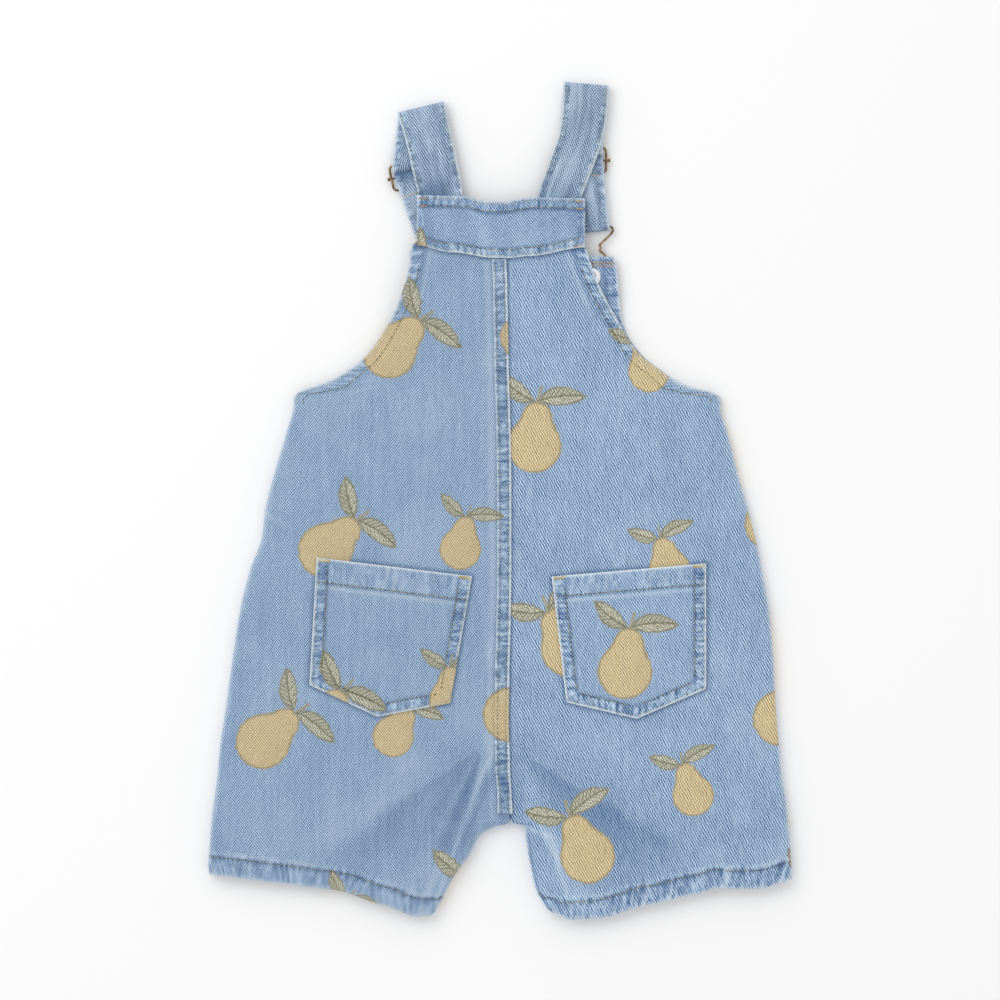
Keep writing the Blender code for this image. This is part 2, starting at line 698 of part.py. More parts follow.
def build():
    clear_scene()
    denim = material("denim", (0.30, 0.42, 0.58), 0.9)
    strap_denim = material("strap_denim", (0.28, 0.39, 0.55), 0.9)
    brass = material("aged_brass", (0.28, 0.22, 0.15), 0.4, 1.0)
    nickel = material("pale_nickel", (0.86, 0.86, 0.87), 0.3, 1.0)

    back_left = panel("back_left", BACK_LEFT, HEM_WAVE_LEFT, True, denim)
    back_right = panel("back_right", BACK_RIGHT, HEM_WAVE_RIGHT, True, denim)
    panel("front_left", front_rows(FRONT_LEFT_BIB, BACK_LEFT), HEM_WAVE_LEFT, False, denim)
    panel("front_right", front_rows(FRONT_RIGHT_BIB, BACK_RIGHT), HEM_WAVE_RIGHT, False, denim)
    tree = seat_tree((back_left, back_right))
    yoke(tree, denim)
    back_seam(tree, denim)
    pocket("pocket_left", tree, POCKET_LEFT, denim)
    pocket("pocket_right", tree, POCKET_RIGHT, denim)

    sides = (
        ("left", BACK_STRAP_LEFT, TOP_FOLD_LEFT, SLIDER_LEFT, HOOK_LEFT),
        ("right", BACK_STRAP_RIGHT, TOP_FOLD_RIGHT, SLIDER_RIGHT, HOOK_RIGHT),
    )
    for side, back, fold, slide, hang in sides:
        strap("strap_" + side, strap_rows(back, fold, slide, hang), strap_denim)
        slider("slider_" + side, slide, brass)
        hook("hook_" + side, hang, brass)
        button(side, hook_axis(hang, BUTTON_DOWN), brass, nickel)


build()
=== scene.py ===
# Child's short denim overalls, laid flat with the back up. Sizes are in millimetres.
import math
from functools import reduce

import bmesh
import bpy
import numpy as np
from mathutils import Matrix, Vector
from mathutils.bvhtree import BVHTree
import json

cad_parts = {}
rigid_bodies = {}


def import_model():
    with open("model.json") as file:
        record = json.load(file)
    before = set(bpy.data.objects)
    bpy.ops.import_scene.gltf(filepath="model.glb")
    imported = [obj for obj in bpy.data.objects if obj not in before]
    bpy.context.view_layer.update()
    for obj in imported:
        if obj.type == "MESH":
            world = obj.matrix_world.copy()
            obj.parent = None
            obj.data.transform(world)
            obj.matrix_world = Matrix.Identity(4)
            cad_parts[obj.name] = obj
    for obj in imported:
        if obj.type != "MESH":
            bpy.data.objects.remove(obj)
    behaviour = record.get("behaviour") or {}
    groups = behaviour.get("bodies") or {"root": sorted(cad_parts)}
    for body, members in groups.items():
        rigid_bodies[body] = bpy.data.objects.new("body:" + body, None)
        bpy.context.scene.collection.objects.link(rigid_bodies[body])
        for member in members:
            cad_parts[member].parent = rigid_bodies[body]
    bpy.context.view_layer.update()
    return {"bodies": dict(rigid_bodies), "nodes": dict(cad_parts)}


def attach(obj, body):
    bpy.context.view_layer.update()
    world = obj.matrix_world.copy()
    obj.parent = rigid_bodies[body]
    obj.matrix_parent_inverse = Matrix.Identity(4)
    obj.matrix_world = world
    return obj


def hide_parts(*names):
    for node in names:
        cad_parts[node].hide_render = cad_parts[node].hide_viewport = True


mm = 0.001
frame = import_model()
body = list(frame["bodies"])[0]
print("frame loaded:", len(frame["nodes"]), "solids")


# Number helpers


def throughRows(rows, places):
    # a smooth curve through rows of numbers, read at places from 0 to 1
    rows = np.array(rows, float)
    padded = np.vstack([2 * rows[:1] - rows[1:2], rows, 2 * rows[-1:] - rows[-2:-1]])
    at = np.clip(places, 0, 1) * (len(rows) - 1)
    k = np.minimum(at.astype(int), len(rows) - 2)
    t = (at - k)[:, None]
    p0, p1, p2, p3 = (padded[k + step] for step in range(4))
    slopeB, slopeC = (p2 - p0) / 2, (p3 - p1) / 2
    square = 3 * (p2 - p1) - 2 * slopeB - slopeC
    cube = 2 * (p1 - p2) + slopeB + slopeC
    return p1 + slopeB * t + square * t**2 + cube * t**3


def straightRows(rows, places):
    rows = np.array(rows, float)
    at = np.clip(places, 0, 1) * (len(rows) - 1)
    return np.stack([np.interp(at, range(len(rows)), column) for column in rows.T], axis=1)


def ease(share):
    share = np.clip(share, 0, 1)
    return share * share * (3 - 2 * share)


def easedTable(table, at):
    # the table's second column at a place on its first, eased between rows
    table = np.array(sorted(table), float)
    k = np.clip(np.searchsorted(table[:, 0], at) - 1, 0, len(table) - 2)
    low, high = table[k], table[k + 1]
    share = ease((at - low[..., 0]) / (high[..., 0] - low[..., 0]))
    return low[..., 1] + (high[..., 1] - low[..., 1]) * share


def pathLengths(path):
    # how far each place of a path is from its start
    return np.concatenate([[0], np.cumsum(np.linalg.norm(np.diff(path, axis=0), axis=1))])


def placed(x, y, tilt, across, along):
    # a place in plan, from a tilted frame's origin and the places in that frame
    turn = np.radians(tilt)
    return x + np.cos(turn) * across - np.sin(turn) * along, y + np.sin(turn) * across + np.cos(turn) * along


def unevenness(x, y, size, seed):
    # smooth noise from -1 to 1 whose lumps are about that size, on a lattice that repeats every 128 lumps
    cells, startX, startY = 128, 64.37, 64.71
    lattice = np.random.default_rng(seed).uniform(-1, 1, (cells, cells))
    gx, gy = x / size + startX, y / size + startY
    i, j = np.floor(gx).astype(int), np.floor(gy).astype(int)
    fx, fy = ease(gx - i), ease(gy - j)
    low, high = (
        lattice[i % cells, (j + up) % cells] * (1 - fx) + lattice[(i + 1) % cells, (j + up) % cells] * fx
        for up in (0, 1)
    )
    return low * (1 - fy) + high * fy


def puckers(along, across, size, seed):
    # ridges that run across a sewn edge, uneven in spacing, height and slant
    slow = across * 0.2
    drift = unevenness(along, slow, size * 2.3, seed) + 0.5 * unevenness(along, slow, size, seed + 4)
    ridge = np.sin(math.tau * (along / size + 0.8 * drift + across * 0.03))
    strength = np.clip(0.45 + 0.9 * unevenness(along, along * 0, size * 2.2, seed + 1), 0, 1.2)
    return ridge * strength * 0.8 + unevenness(along, across * 0.7, size * 0.45, seed + 2) * 0.45


def band(distance, width, soft=0.8):
    # 1 inside a band along an edge, 0 past it
    return 1 - ease((distance - width + soft / 2) / soft)


def line(distance, place, half):
    return np.exp(-(((distance - place) / half) ** 2))


def lines(*rows):
    # a row is how strong a line is, the distance it is drawn by, its place there and its half width
    return sum(strength * line(distance, place, half) for strength, distance, place, half in rows)


# Pieces of the visual model


def toData(name, mesh):
    data = bpy.data.meshes.new(name)
    mesh.to_mesh(data)
    mesh.free()
    return data


def addObject(name, data):
    made = bpy.data.objects.new(name, data)
    bpy.context.scene.collection.objects.link(made)
    return made


def addPiece(name, data, slot, *replaced):
    piece = addObject(name, data)
    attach(piece, body)
    if replaced:
        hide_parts(*replaced)
    return piece


def clothShell(node, places, maps, wornAndLit, thickness, material, slot="denim", up=True, offset=1.0):
    # a cloth wall over a grid of x, y and z, with its plan and edge places, how faded it is together with its
    # painted shade and highlights, and how sewn it is
    points = np.stack(np.broadcast_arrays(*places), axis=-1) * mm
    rows, columns = points.shape[:2]
    mesh = bmesh.new()
    bmesh.ops.create_grid(mesh, x_segments=columns - 1, y_segments=rows - 1, size=0.5)
    data = toData(node + "_cloth", mesh)
    flat = np.zeros(len(data.vertices) * 3)
    data.vertices.foreach_get("co", flat)
    flat = flat.reshape(-1, 3)
    column = np.rint((flat[:, 0] + 0.5) * (columns - 1)).astype(int)
    row = np.rint((flat[:, 1] + 0.5) * (rows - 1)).astype(int)
    data.vertices.foreach_set("co", points[row, column].ravel())
    loops = np.zeros(len(data.loops), int)
    data.loops.foreach_get("vertex_index", loops)
    for label, pair in zip(("cloth", "edge"), maps):
        pair = np.stack(np.broadcast_arrays(*pair), axis=-1) * mm
        data.uv_layers.new(name=label).data.foreach_set("uv", pair[row, column][loops].ravel())
    for label, values in zip(("fadeAndShading", "sewn"), wornAndLit):
        values = np.broadcast_to(values, (rows, columns))[row, column]
        data.attributes.new(label, "FLOAT", "POINT").data.foreach_set("value", values)
    data.update()
    if (data.polygons[len(data.polygons) // 2].normal.z > 0) != up:
        data.flip_normals()
    data.shade_smooth()
    data.materials.append(material)
    piece = addPiece(node + "_cloth", data, slot, node)
    wall = piece.modifiers.new("wall", "SOLIDIFY")
    wall.thickness = thickness * mm
    wall.offset = offset
    wall.use_even_offset = False
    return piece


def surfaceTree(*pieces):
    # the pieces' faces, for seating sewn-on things on them
    faces = bmesh.new()
    graph = bpy.context.evaluated_depsgraph_get()
    for piece in pieces:
        faces.from_mesh(piece.evaluated_get(graph).to_mesh())
    tree = BVHTree.FromBMesh(faces)
    faces.free()
    return tree


def surfaceHeight(tree, x, y, up=True, missing=-99.0, above=50.0):
    found = np.full(x.shape, float(missing))
    ray = Vector((0, 0, -1 if up else 1))
    start = above if up else -50.0
    for place in np.ndindex(x.shape):
        hit = tree.ray_cast(Vector((x[place], y[place], start)) * mm, ray)[0]
        if hit:
            found[place] = hit.z / mm
    return found


# Node helpers


class Value:
    # a shader's socket, so that sums of sockets and numbers read as sums
    def __init__(self, socket):
        self.socket = socket
        self.tree = socket.id_data

    def __add__(self, other):
        return calc("ADD", self, other)

    def __sub__(self, other):
        return calc("SUBTRACT", self, other)

    def __rsub__(self, other):
        return calc("SUBTRACT", other, self)

    def __mul__(self, other):
        return calc("MULTIPLY", self, other)

    def __truediv__(self, other):
        return calc("DIVIDE", self, other)

    def __abs__(self):
        return calc("ABSOLUTE", self)


def feed(socket, value):
    if isinstance(value, Value):
        value.tree.links.new(value.socket, socket)
    else:
        socket.default_value = value


def addNode(kind, inputs, out=0, tree=None, **settings):
    # a new node in its inputs' own tree, read at one of its outputs
    tree = tree or next(value.tree for value in inputs.values() if isinstance(value, Value))
    node = tree.nodes.new("ShaderNode" + kind)
    for label, setting in settings.items():
        setattr(node, label, setting)
    for label, value in inputs.items():
        feed(node.inputs[label], value)
    return Value(node.outputs[out])


def calc(operation, *values, clamp=False):
    return addNode("Math", dict(enumerate(values)), operation=operation, use_clamp=clamp)


def larger(*values):
    return reduce(lambda a, b: calc("MAXIMUM", a, b), values)


def vectorCalc(operation, *values, out=0):
    return addNode("VectorMath", dict(enumerate(values)), out, operation=operation)


def farness(vector):
    return vectorCalc("LENGTH", vector, out=1)


def turnVector(vector, angle):
    return addNode("VectorRotate", {"Vector": vector, "Angle": angle}, rotation_type="Z_AXIS")


def second(value):
    # the same node's second output
    return Value(value.socket.node.outputs[1])


def split(vector):
    x = addNode("SeparateXYZ", {0: vector})
    return x, second(x)


def join(x, y, z=0.0):
    return addNode("CombineXYZ", {0: x, 1: y, 2: z})


def noise(vector, scale, detail=2.0):
    return addNode("TexNoise", {"Vector": vector, "Scale": scale, "Detail": detail})


def ramp(value, low, high, start=0.0, end=1.0):
    limits = dict(enumerate((value, low, high, start, end)))
    return addNode("MapRange", limits, interpolation_type="SMOOTHSTEP")


def mix(share, a, b):
    return addNode("Mix", {0: share, 6: a, 7: b}, out=2, data_type="RGBA")


def newGroup(name, inputs, outputs):
    # a node group with the values that it is given and the sockets that it fills
    group = bpy.data.node_groups.new(name, "ShaderNodeTree")
    for way, labels in (("INPUT", inputs), ("OUTPUT", outputs)):
        for label in labels:
            kind = "NodeSocketVector" if label == "Vector" else "NodeSocketFloat"
            group.interface.new_socket(label, in_out=way, socket_type=kind)
    start, end = (group.nodes.new(kind) for kind in ("NodeGroupInput", "NodeGroupOutput"))
    return group, [Value(start.outputs[label]) for label in inputs], end.inputs


def useGroup(group, **values):
    node = addNode("Group", values, node_tree=group).socket.node
    return {socket.name: Value(socket) for socket in node.outputs}


def colour(red, green, blue):
    # from the 0 to 255 values of a picture to Blender's linear ones
    parts = [channel / 255 for channel in (red, green, blue)]
    return (*[p / 12.92 if p <= 0.04045 else ((p + 0.055) / 1.055) ** 2.4 for p in parts], 1.0)


# The twill: slanting ridges that beat against the warp, with loose fibres


def makeTwillGroup():
    labels = ("Vector", "Pitch", "Lean", "Cross", "Beat", "Ridges", "Counter")
    group, given, result = newGroup("twill weave", labels, ("Weft", "Height"))
    place, pitch, lean, cross, beatLength, ridges, counter = given
    x, y = split(place)
    wobble = (noise(place, 70) - 0.5) * 0.8 + (noise(place, 310, 1) - 0.5) * 0.75
    broken = noise(place, 400) * 2.6 - 0.25
    beat = calc("SINE", x / beatLength * math.tau + noise(place, 28) * 5.0) * 0.25 + 0.8
    shown, raised = 0.5, 0.5
    for angle, strength in ((lean, ridges), (lean + cross, counter)):
        across, _ = split(turnVector(place, angle))
        wave = calc("SINE", (across / pitch + wobble) * math.tau) * strength
        raised = wave + raised
        shown = wave * broken * beat + shown
    fibre = noise(place, 1900, 1) - 0.5
    slub = noise(join(x * 9.0, y), 95) - 0.5
    feed(result["Weft"], calc("MULTIPLY_ADD", slub, 0.55, fibre * 1.9 + shown, clamp=True))
    feed(result["Height"], fibre + raised)
    return group


# The print: a pear with two plain leaves in each cell, turned and moved a little, in shares of its size

pearLook = {
    "edge": 0.035,
    # middle and radius
    "bottom": ((0.0, -0.3, 0), 1.0),
    "neck": ((0.1, 0.8, 0), 0.5),
    # foot, heading, length and bulge
    "leaves": [((0.12, 1.32, 0), 0.35, 1.75, 0.36), ((0.02, 1.3, 0), 2.72, 1.55, 0.34)],
    # foot and heading
    "stalk": ((0.1, 1.25, 0), 0.25),
}


def makePearGroup():
    labels = ("Vector", "Width", "Height", "Size", "Seed")
    group, given, result = newGroup("pear print", labels, ("Fruit", "Leaf", "Ink"))
    cloth, width, height, size, seed = given
    edge = pearLook["edge"]
    x, y = split(cloth)
    column = x / width
    row = y / height + calc("PINGPONG", calc("FLOOR", column), 1.0) * 0.5
    cell = join(calc("FLOOR", column), calc("FLOOR", row), seed)
    chance = addNode("TexWhiteNoise", {"Vector": cell}, noise_dimensions="3D")
    inside = join(calc("FRACT", column) - 0.5, calc("FRACT", row) - 0.5)
    place = vectorCalc("MULTIPLY", inside, join(width, height))
    moved = vectorCalc("MULTIPLY", vectorCalc("SUBTRACT", second(chance), (0.5, 0.5, 0.5)), (0.014, 0.014, 0))
    turned = turnVector(vectorCalc("ADD", place, moved), (chance - 0.5) * 1.3)
    motif = vectorCalc("DIVIDE", turned, join(size, size, 1.0))
    rough = (noise(cloth, 330, 3) - 0.5) * 0.16
    motif = vectorCalc("ADD", motif, join(rough, rough))

    # the fruit is a broad round bottom that runs into a narrower neck
    rounds = (pearLook["bottom"], pearLook["neck"])
    bottom, neck = (farness(vectorCalc("SUBTRACT", motif, middle)) - radius for middle, radius in rounds)
    skin = calc("SMOOTH_MIN", bottom, neck, 0.75)
    fruit = ramp(skin, edge, -edge)
    pores = ramp(noise(cloth, 1250, 1), 0.56, 0.64) * ramp(split(motif)[0], -0.1, 0.9, 0.0, 0.5)
    ink = larger(ramp(skin, -0.09, -0.04, 0.0, 0.6), pores) * fruit

    # the leaves are lens shapes, each with a midrib and side veins
    leaves = 0.0
    for foot, heading, length, bulge in pearLook["leaves"]:
        along, side = split(turnVector(vectorCalc("SUBTRACT", motif, foot), -heading))
        side = calc("POWER", abs(along), 2.0) * 0.14 + side
        half = length / 2
        radius = (half * half + bulge * bulge) / (2 * bulge)
        rim = farness(join(along - half, abs(side) + (radius - bulge))) - radius
        leaf = ramp(rim, edge, -edge)
        slant = along - abs(side) * 1.1
        veins = ramp(calc("FRACT", slant * 6.0), 0.6, 0.85)
        hatch = ramp(calc("FRACT", slant * 16.0), 0.4, 0.75, 0.0, 0.7) * ramp(side, -0.06, 0.04)
        drawn = larger(ramp(abs(side), 0.045, 0.02), veins, hatch, ramp(rim, -0.07, -0.03))
        ink = larger(ink, drawn * leaf)
        leaves = larger(leaf, leaves)

    # the stalk stands on the neck
    foot, heading = pearLook["stalk"]
    across, up = split(turnVector(vectorCalc("SUBTRACT", motif, foot), heading))
    stalk = ramp(abs(across), 0.075, 0.045) * ramp(abs(up - 0.3), 0.36, 0.32)
    feed(result["Fruit"], fruit)
    feed(result["Leaf"], larger(leaves, stalk) * (1.0 - fruit))
    feed(result["Ink"], larger(ink, stalk * 0.6))
    return group


twillGroup = makeTwillGroup()
pearGroup = makePearGroup()

# Materials. Denim colours are those of the washed cloth, from its darkest warp to its palest weft. The pale
# worn colour and the deep colour also take the painted highlights and painted shade that the cloth's fading
# attribute carries.

denimLook = {
    "warp": colour(26, 80, 132),
    "strapWarp": colour(52, 80, 113),
    "weft": colour(200, 223, 246),
    "wornAndLit": colour(226, 234, 240),
    "deepAndShade": colour(78, 106, 146),
    "fruit": (colour(158, 126, 66), colour(246, 230, 184)),
    "leaf": (colour(140, 138, 110), colour(240, 236, 214)),
    "ink": colour(88, 90, 66),
    "cross": 76,
    "beat": 12.7,
    "cell": (0.152, 0.138),
    # a motif's place as shares of the cell, its size and its seed
    "motifs": [(0, 0, 0.0182, 3.0), (0.5, 0.27, 0.0138, 8.0)],
    # blotches along sewn edges: how drawn out, how fine and how strong
    "blotches": [(0.22, 250, 0.2), (0.5, 600, 0.15)],
}

# each piece's pitch, lean, strengths of ridges, counter ridges and streaks, slant of streaks, and tone
denimTable = {
    "left": (1.25, -56, 1.0, 1.0, 0.04, 0.31, 0.0),
    "right": (1.6, -23, 0.56, 0.12, 0.03, -0.1, 0.0),
    "pocket_left": (1.25, -45, 1.15, 1.15, 0.05, 0.12, 0.0),
    "pocket_right": (1.5, -31, 0.56, 0.12, 0.03, -0.06, 0.0),
    "yoke": (1.35, -89, 0.7, 0.35, 0.03, 0.9, 0.0),
    "seam": (1.25, -56, 1.2, 1.2, 0.03, 0.31, 0.0),
    "strap_left": (1.5, -20, 0.66, 0.12, 0.14, 0.0, -0.08),
    "strap_right": (1.4, -38, 0.8, 0.6, 0.18, 0.0, -0.02),
}


def newMaterial(name):
    material = bpy.data.materials.new(name)
    material.use_nodes = True
    return material, material.node_tree, material.node_tree.nodes["Principled BSDF"].inputs


def addBump(shader, height, strength, depth):
    bump = addNode("Bump", {"Height": height, "Strength": strength, "Distance": depth * mm})
    feed(shader["Normal"], bump)


def denimMaterial(key, pitch, lean, ridges, counter, streak, grain, tone):
    material, tree, shader = newMaterial("denim " + key.replace("_", " "))
    plan, edge = (addNode("UVMap", {}, tree=tree, uv_map=label) for label in ("cloth", "edge"))
    fadeAndShading, sewn = (addNode("Attribute", {}, "Fac", tree, attribute_name=label) for label in ("fadeAndShading", "sewn"))
    fadeAndShading = fadeAndShading + tone
    turns = {"Lean": math.radians(lean), "Cross": math.radians(denimLook["cross"])}
    sizes = {"Pitch": pitch * mm, "Beat": denimLook["beat"] * mm, "Ridges": ridges, "Counter": counter}
    twill = useGroup(twillGroup, Vector=plan, **turns, **sizes)
    weft = (noise(plan, 30, 3) - 0.5) * 0.14 + twill["Weft"]
    for across, scale, strength in denimLook["blotches"]:
        pulled = vectorCalc("MULTIPLY", edge, (1.0, across, 0.0))
        weft = ramp(noise(pulled, scale, 1), 0.3, 0.7, -strength, strength) * sewn + weft
    pulled = vectorCalc("MULTIPLY", turnVector(plan, -grain), (1.0, 0.07, 0.0))
    weft = ramp(noise(pulled, 230), 0.3, 0.7, -streak, streak) + weft
    # the fading attribute, which holds wear and also painted shade and painted highlights, moves the weave's
    # share here and pulls the cloth towards the worn and deep colours below
    weft = calc("MULTIPLY_ADD", fadeAndShading, 0.45, weft, clamp=True)
    printed = not key.startswith("strap")
    cloth = mix(weft, denimLook["warp" if printed else "strapWarp"], denimLook["weft"])
    cloth = mix(calc("MULTIPLY", fadeAndShading, 0.75, clamp=True), cloth, denimLook["wornAndLit"])
    cloth = mix(calc("MULTIPLY", fadeAndShading, -0.55, clamp=True), cloth, denimLook["deepAndShade"])
    if printed:
        wide, high = denimLook["cell"]
        cell = {"Width": wide, "Height": high}
        motifs = []
        for right, up, size, seed in denimLook["motifs"]:
            moved = vectorCalc("ADD", plan, (wide * right, high * up, 0))
            motifs.append(useGroup(pearGroup, Vector=moved, Size=size, Seed=seed, **cell))
        fruit, leaf, ink = (larger(*[motif[label] for motif in motifs]) for label in ("Fruit", "Leaf", "Ink"))
        thread = twill["Weft"] * 0.9 + 0.05
        soaked = ramp(twill["Weft"], 0.0, 0.35, 0.72, 0.98)
        for label, mask in (("fruit", fruit), ("leaf", leaf)):
            cloth = mix(mask * soaked, cloth, mix(thread, *denimLook[label]))
        cloth = mix(ink * 0.75, cloth, denimLook["ink"])
    feed(shader["Base Color"], cloth)
    feed(shader["Roughness"], ramp(twill["Weft"], 0.0, 1.0, 0.95, 0.8))
    addBump(shader, twill["Height"], 0.5, 0.25)
    shader["Specular IOR Level"].default_value = 0.25
    shader["Sheen Weight"].default_value = 0.12
    shader["Sheen Roughness"].default_value = 0.6
    return material


def threadMaterial(name, base, pale):
    material, tree, shader = newMaterial(name + " thread")
    place = addNode("TexCoord", {}, "Object", tree)
    feed(shader["Base Color"], mix(ramp(noise(place, 120, 2), 0.35, 0.65), colour(*base), colour(*pale)))
    shader["Roughness"].default_value = 0.7
    return material


def metalMaterial(name, dark, base, roughness):
    material, tree, shader = newMaterial(name)
    place = addNode("TexCoord", {}, "Object", tree)
    tarnish = noise(place, 420, 4)
    feed(shader["Base Color"], mix(ramp(tarnish, 0.38, 0.62), colour(*dark), colour(*base)))
    feed(shader["Roughness"], ramp(tarnish, 0.3, 0.7, roughness + 0.12, roughness - 0.06))
    shader["Metallic"].default_value = 1.0
    addBump(shader, noise(place, 1500, 2), 0.15, 0.1)
    return material


denims = {key: denimMaterial(key, *row) for key, row in denimTable.items()}
threadTable = {
    "mustard": ((92, 90, 62), (158, 148, 104)),
    "faded": ((150, 160, 158), (206, 208, 194)),
    "olive": ((112, 116, 94), (176, 174, 146)),
    "straw": ((206, 184, 124), (234, 218, 170)),
    "orange": ((196, 148, 80), (226, 184, 118)),
}
threads = {name: threadMaterial(name, *colours) for name, colours in threadTable.items()}
brass = metalMaterial("aged brass", (96, 80, 60), (164, 138, 104), 0.36)
nickel = metalMaterial("pale nickel", (240, 240, 240), (254, 254, 254), 0.42)
print("materials made")


# Panels. One row of a table runs from the side to the centre seam or inner leg.

layerLook = {
    "cloth": 1.0,
    "seamGap": 0.3,
    "heights": [
        (280, 8.8), (135, 8.8), (90, 8.0), (20, 7.8), (-130, 8.2), (-200, 9.0), (-235, 9.4), (-285, 9.0),
    ],
    # how each kind of edge ends: share of height left, reach, how round
    "edges": {
        "L": (1.0, 4.4, 0),
        "R": (0.72, 22, 0),
        "O": (0.52, 24, 0),
        "F": (0.5, 4.4, 1),
        "C": (0.5, 13, 1),
    },
    "hemBand": 13.4,
    "hemAround": 190,
    "turnedBand": 8.0,
    # share of the length at which the hem's wave starts
    "waveStarts": 0.86,
    # row step, middle columns and columns along each edge, for the back and for the front
    "grid": {True: (1.6, 124, 8), False: (2.6, 84, 7)},
    # places in the outlines' rows
    "seamRows": 20,
    "armholeEnds": 7.3,
    "legStarts": 19,
}

# largest folds first: from, to, rise, half width
foldTable = [
    (18, -172, 104, -226, -1.9, 15),
    (24, -190, 58, -262, 1.5, 9),
    (-10, -166, -33, -258, 1.1, 6),
    (-19, -172, -44, -228, -2.0, 8),
    (-34, -184, -74, -246, 0.9, 8),
    (-30, -172, -104, -250, -1.4, 11),
    (-168, 6, -118, -14, 0.8, 12),
    (116, -250, 138, -282, -1.2, 10),
    (-112, -240, -104, -276, -1.6, 9),
    (168, -4, 132, -22, 0.5, 8),
    (-172, -18, -150, -22, -0.7, 4),
    (176, -18, 156, -24, -0.7, 4),
    (40, -196, 118, -250, 0.5, 9),
    (-60, -198, -128, -236, 0.5, 9),
    (-86, 96, -70, 60, 0.4, 8),
    (92, 92, 80, 56, 0.4, 8),
    (120, 30, 150, -60, -0.4, 14),
    (-120, 30, -148, -60, -0.35, 14),
]

# the front lies on the surface, so its folds are low troughs that rise off it, a little aside of the back's
frontFolds = [
    (x1 * 0.94, y1 + 8, x2 * 0.9, y2 + 4, 0.6 * abs(rise), half * 0.7)
    for x1, y1, x2, y2, rise, half in foldTable
]

# rubbed and shaded creases: from, to, how pale, half width
creaseTable = [
    (-10.7, -178, -23, -213, 0.26, 1.7),
    (-23, -213, -40, -264, 0.22, 1.7),
    (-9, -188, -22, -226, -0.3, 3.4),
    (17, -219, 28.7, -222.5, 0.22, 1.6),
    (28.7, -222.5, 36, -235, 0.24, 1.6),
    (36, -235, 44.7, -261, 0.22, 1.8),
    (-2, -196, 0, -206, -0.22, 4),
    (11, -196, 13, -208, -0.14, 3),
    (-166, -4, -150, -12, 0.12, 2),
]

# fans of painted fold shade: tip, two sides, reach, how dark across from side to side and out from the tip
fanTable = [
    (
        (14, -169), (125, -233), (58, -262), 130,
        [(-0.9, 0), (-0.06, 0), (0.1, 0.34), (0.5, 0.27), (0.92, 0.18), (1.08, 0), (2.5, 0)],
        [(0, 0), (0.1, 0.8), (0.5, 1), (0.85, 0.5), (1.0, 0)],
    ),
    (
        (-12, -165), (-104, -228), (-52, -240), 112,
        [(-2.5, 0), (-0.1, 0), (0.12, 0.32), (0.7, 0.22), (1.1, 0), (2.5, 0)],
        [(0, 0), (0.12, 0.9), (0.6, 0.9), (0.9, 0.5), (1.1, 0)],
    ),
    (
        (-12, -165), (-42, -238), (-30, -236), 80,
        [(-2.5, 0), (-0.8, 0), (0.2, 0.62), (0.8, 0.5), (1.9, 0), (4, 0)],
        [(0, 0), (0.12, 0.9), (0.6, 1), (0.85, 0.7), (1.1, 0)],
    ),
]

sideLeft = [
    (-58.7, 170.3), (-60.8, 155), (-64.7, 140), (-73, 120.5), (-85.5, 100.5), (-98, 89), (-114, 79.5),
    (-135.4, 71.4), (-138, 60), (-144, 40), (-150.5, 18), (-156.6, -6), (-159.4, -27), (-166.6, -46),
    (-173.3, -73), (-178.3, -104), (-182.6, -136), (-186.6, -163), (-188.6, -184), (-190.6, -199),
    (-191.8, -208), (-192.6, -216), (-193.4, -226), (-194.2, -235), (-194.6, -242.5), (-194.2, -249.3),
]
sideRight = [
    (57, 168), (61.5, 154.5), (67.5, 140), (78.5, 120), (90.8, 99.8), (106, 87), (123, 76.8),
    (145, 70.4), (147.5, 58), (153.3, 40), (158.6, 18), (165.3, -6), (170.8, -27), (174.6, -46),
    (179.2, -73), (182.4, -104), (183.9, -136), (186.2, -163), (188, -184), (190.6, -199),
    (191.6, -208), (192.4, -216), (193.3, -226), (194, -236), (194.5, -245), (194.6, -253),
]
backSeam = [
    (3, 178), (3.2, 160), (3.8, 141), (4.2, 121), (4.6, 101), (4.8, 87), (5.2, 74), (5.6, 61), (6, 48),
    (6.3, 29), (6.5, 8), (6.6, -15), (6.6, -36), (6.5, -55), (6, -82), (5.2, -114), (4.8, -147),
    (5.3, -176), (6.8, -199), (6.8, -214.2),
]
legLeft = [(-3, -218), (-13.6, -224), (-20, -236.5), (-28.6, -248), (-36, -261.5), (-42.5, -275)]
legRight = [(16, -217.6), (17.2, -226), (18.8, -236.5), (21, -248), (24.2, -261), (31, -273)]
bibLeft = [
    (-60.2, 166.5), (-60.2, 155), (-62.4, 140), (-69.6, 121), (-82.2, 101.6), (-95.4, 89.6),
    (-112.6, 79.3), (-135, 71.2),
]
bibRight = [
    (76.2, 162.4), (78.2, 151), (79.2, 137), (82, 118), (90.8, 101.4), (105.4, 88),
    (122.6, 77.4), (144.6, 70.1),
]
bibSeam = [(8.2, 163), (8.4, 151), (8.8, 137), (9.2, 118), (9.6, 101), (9.8, 88), (10, 75), (10.2, 61)]
frontSeam = bibSeam + [(10.4, y) for x, y in backSeam[8:19]] + [backSeam[19]]

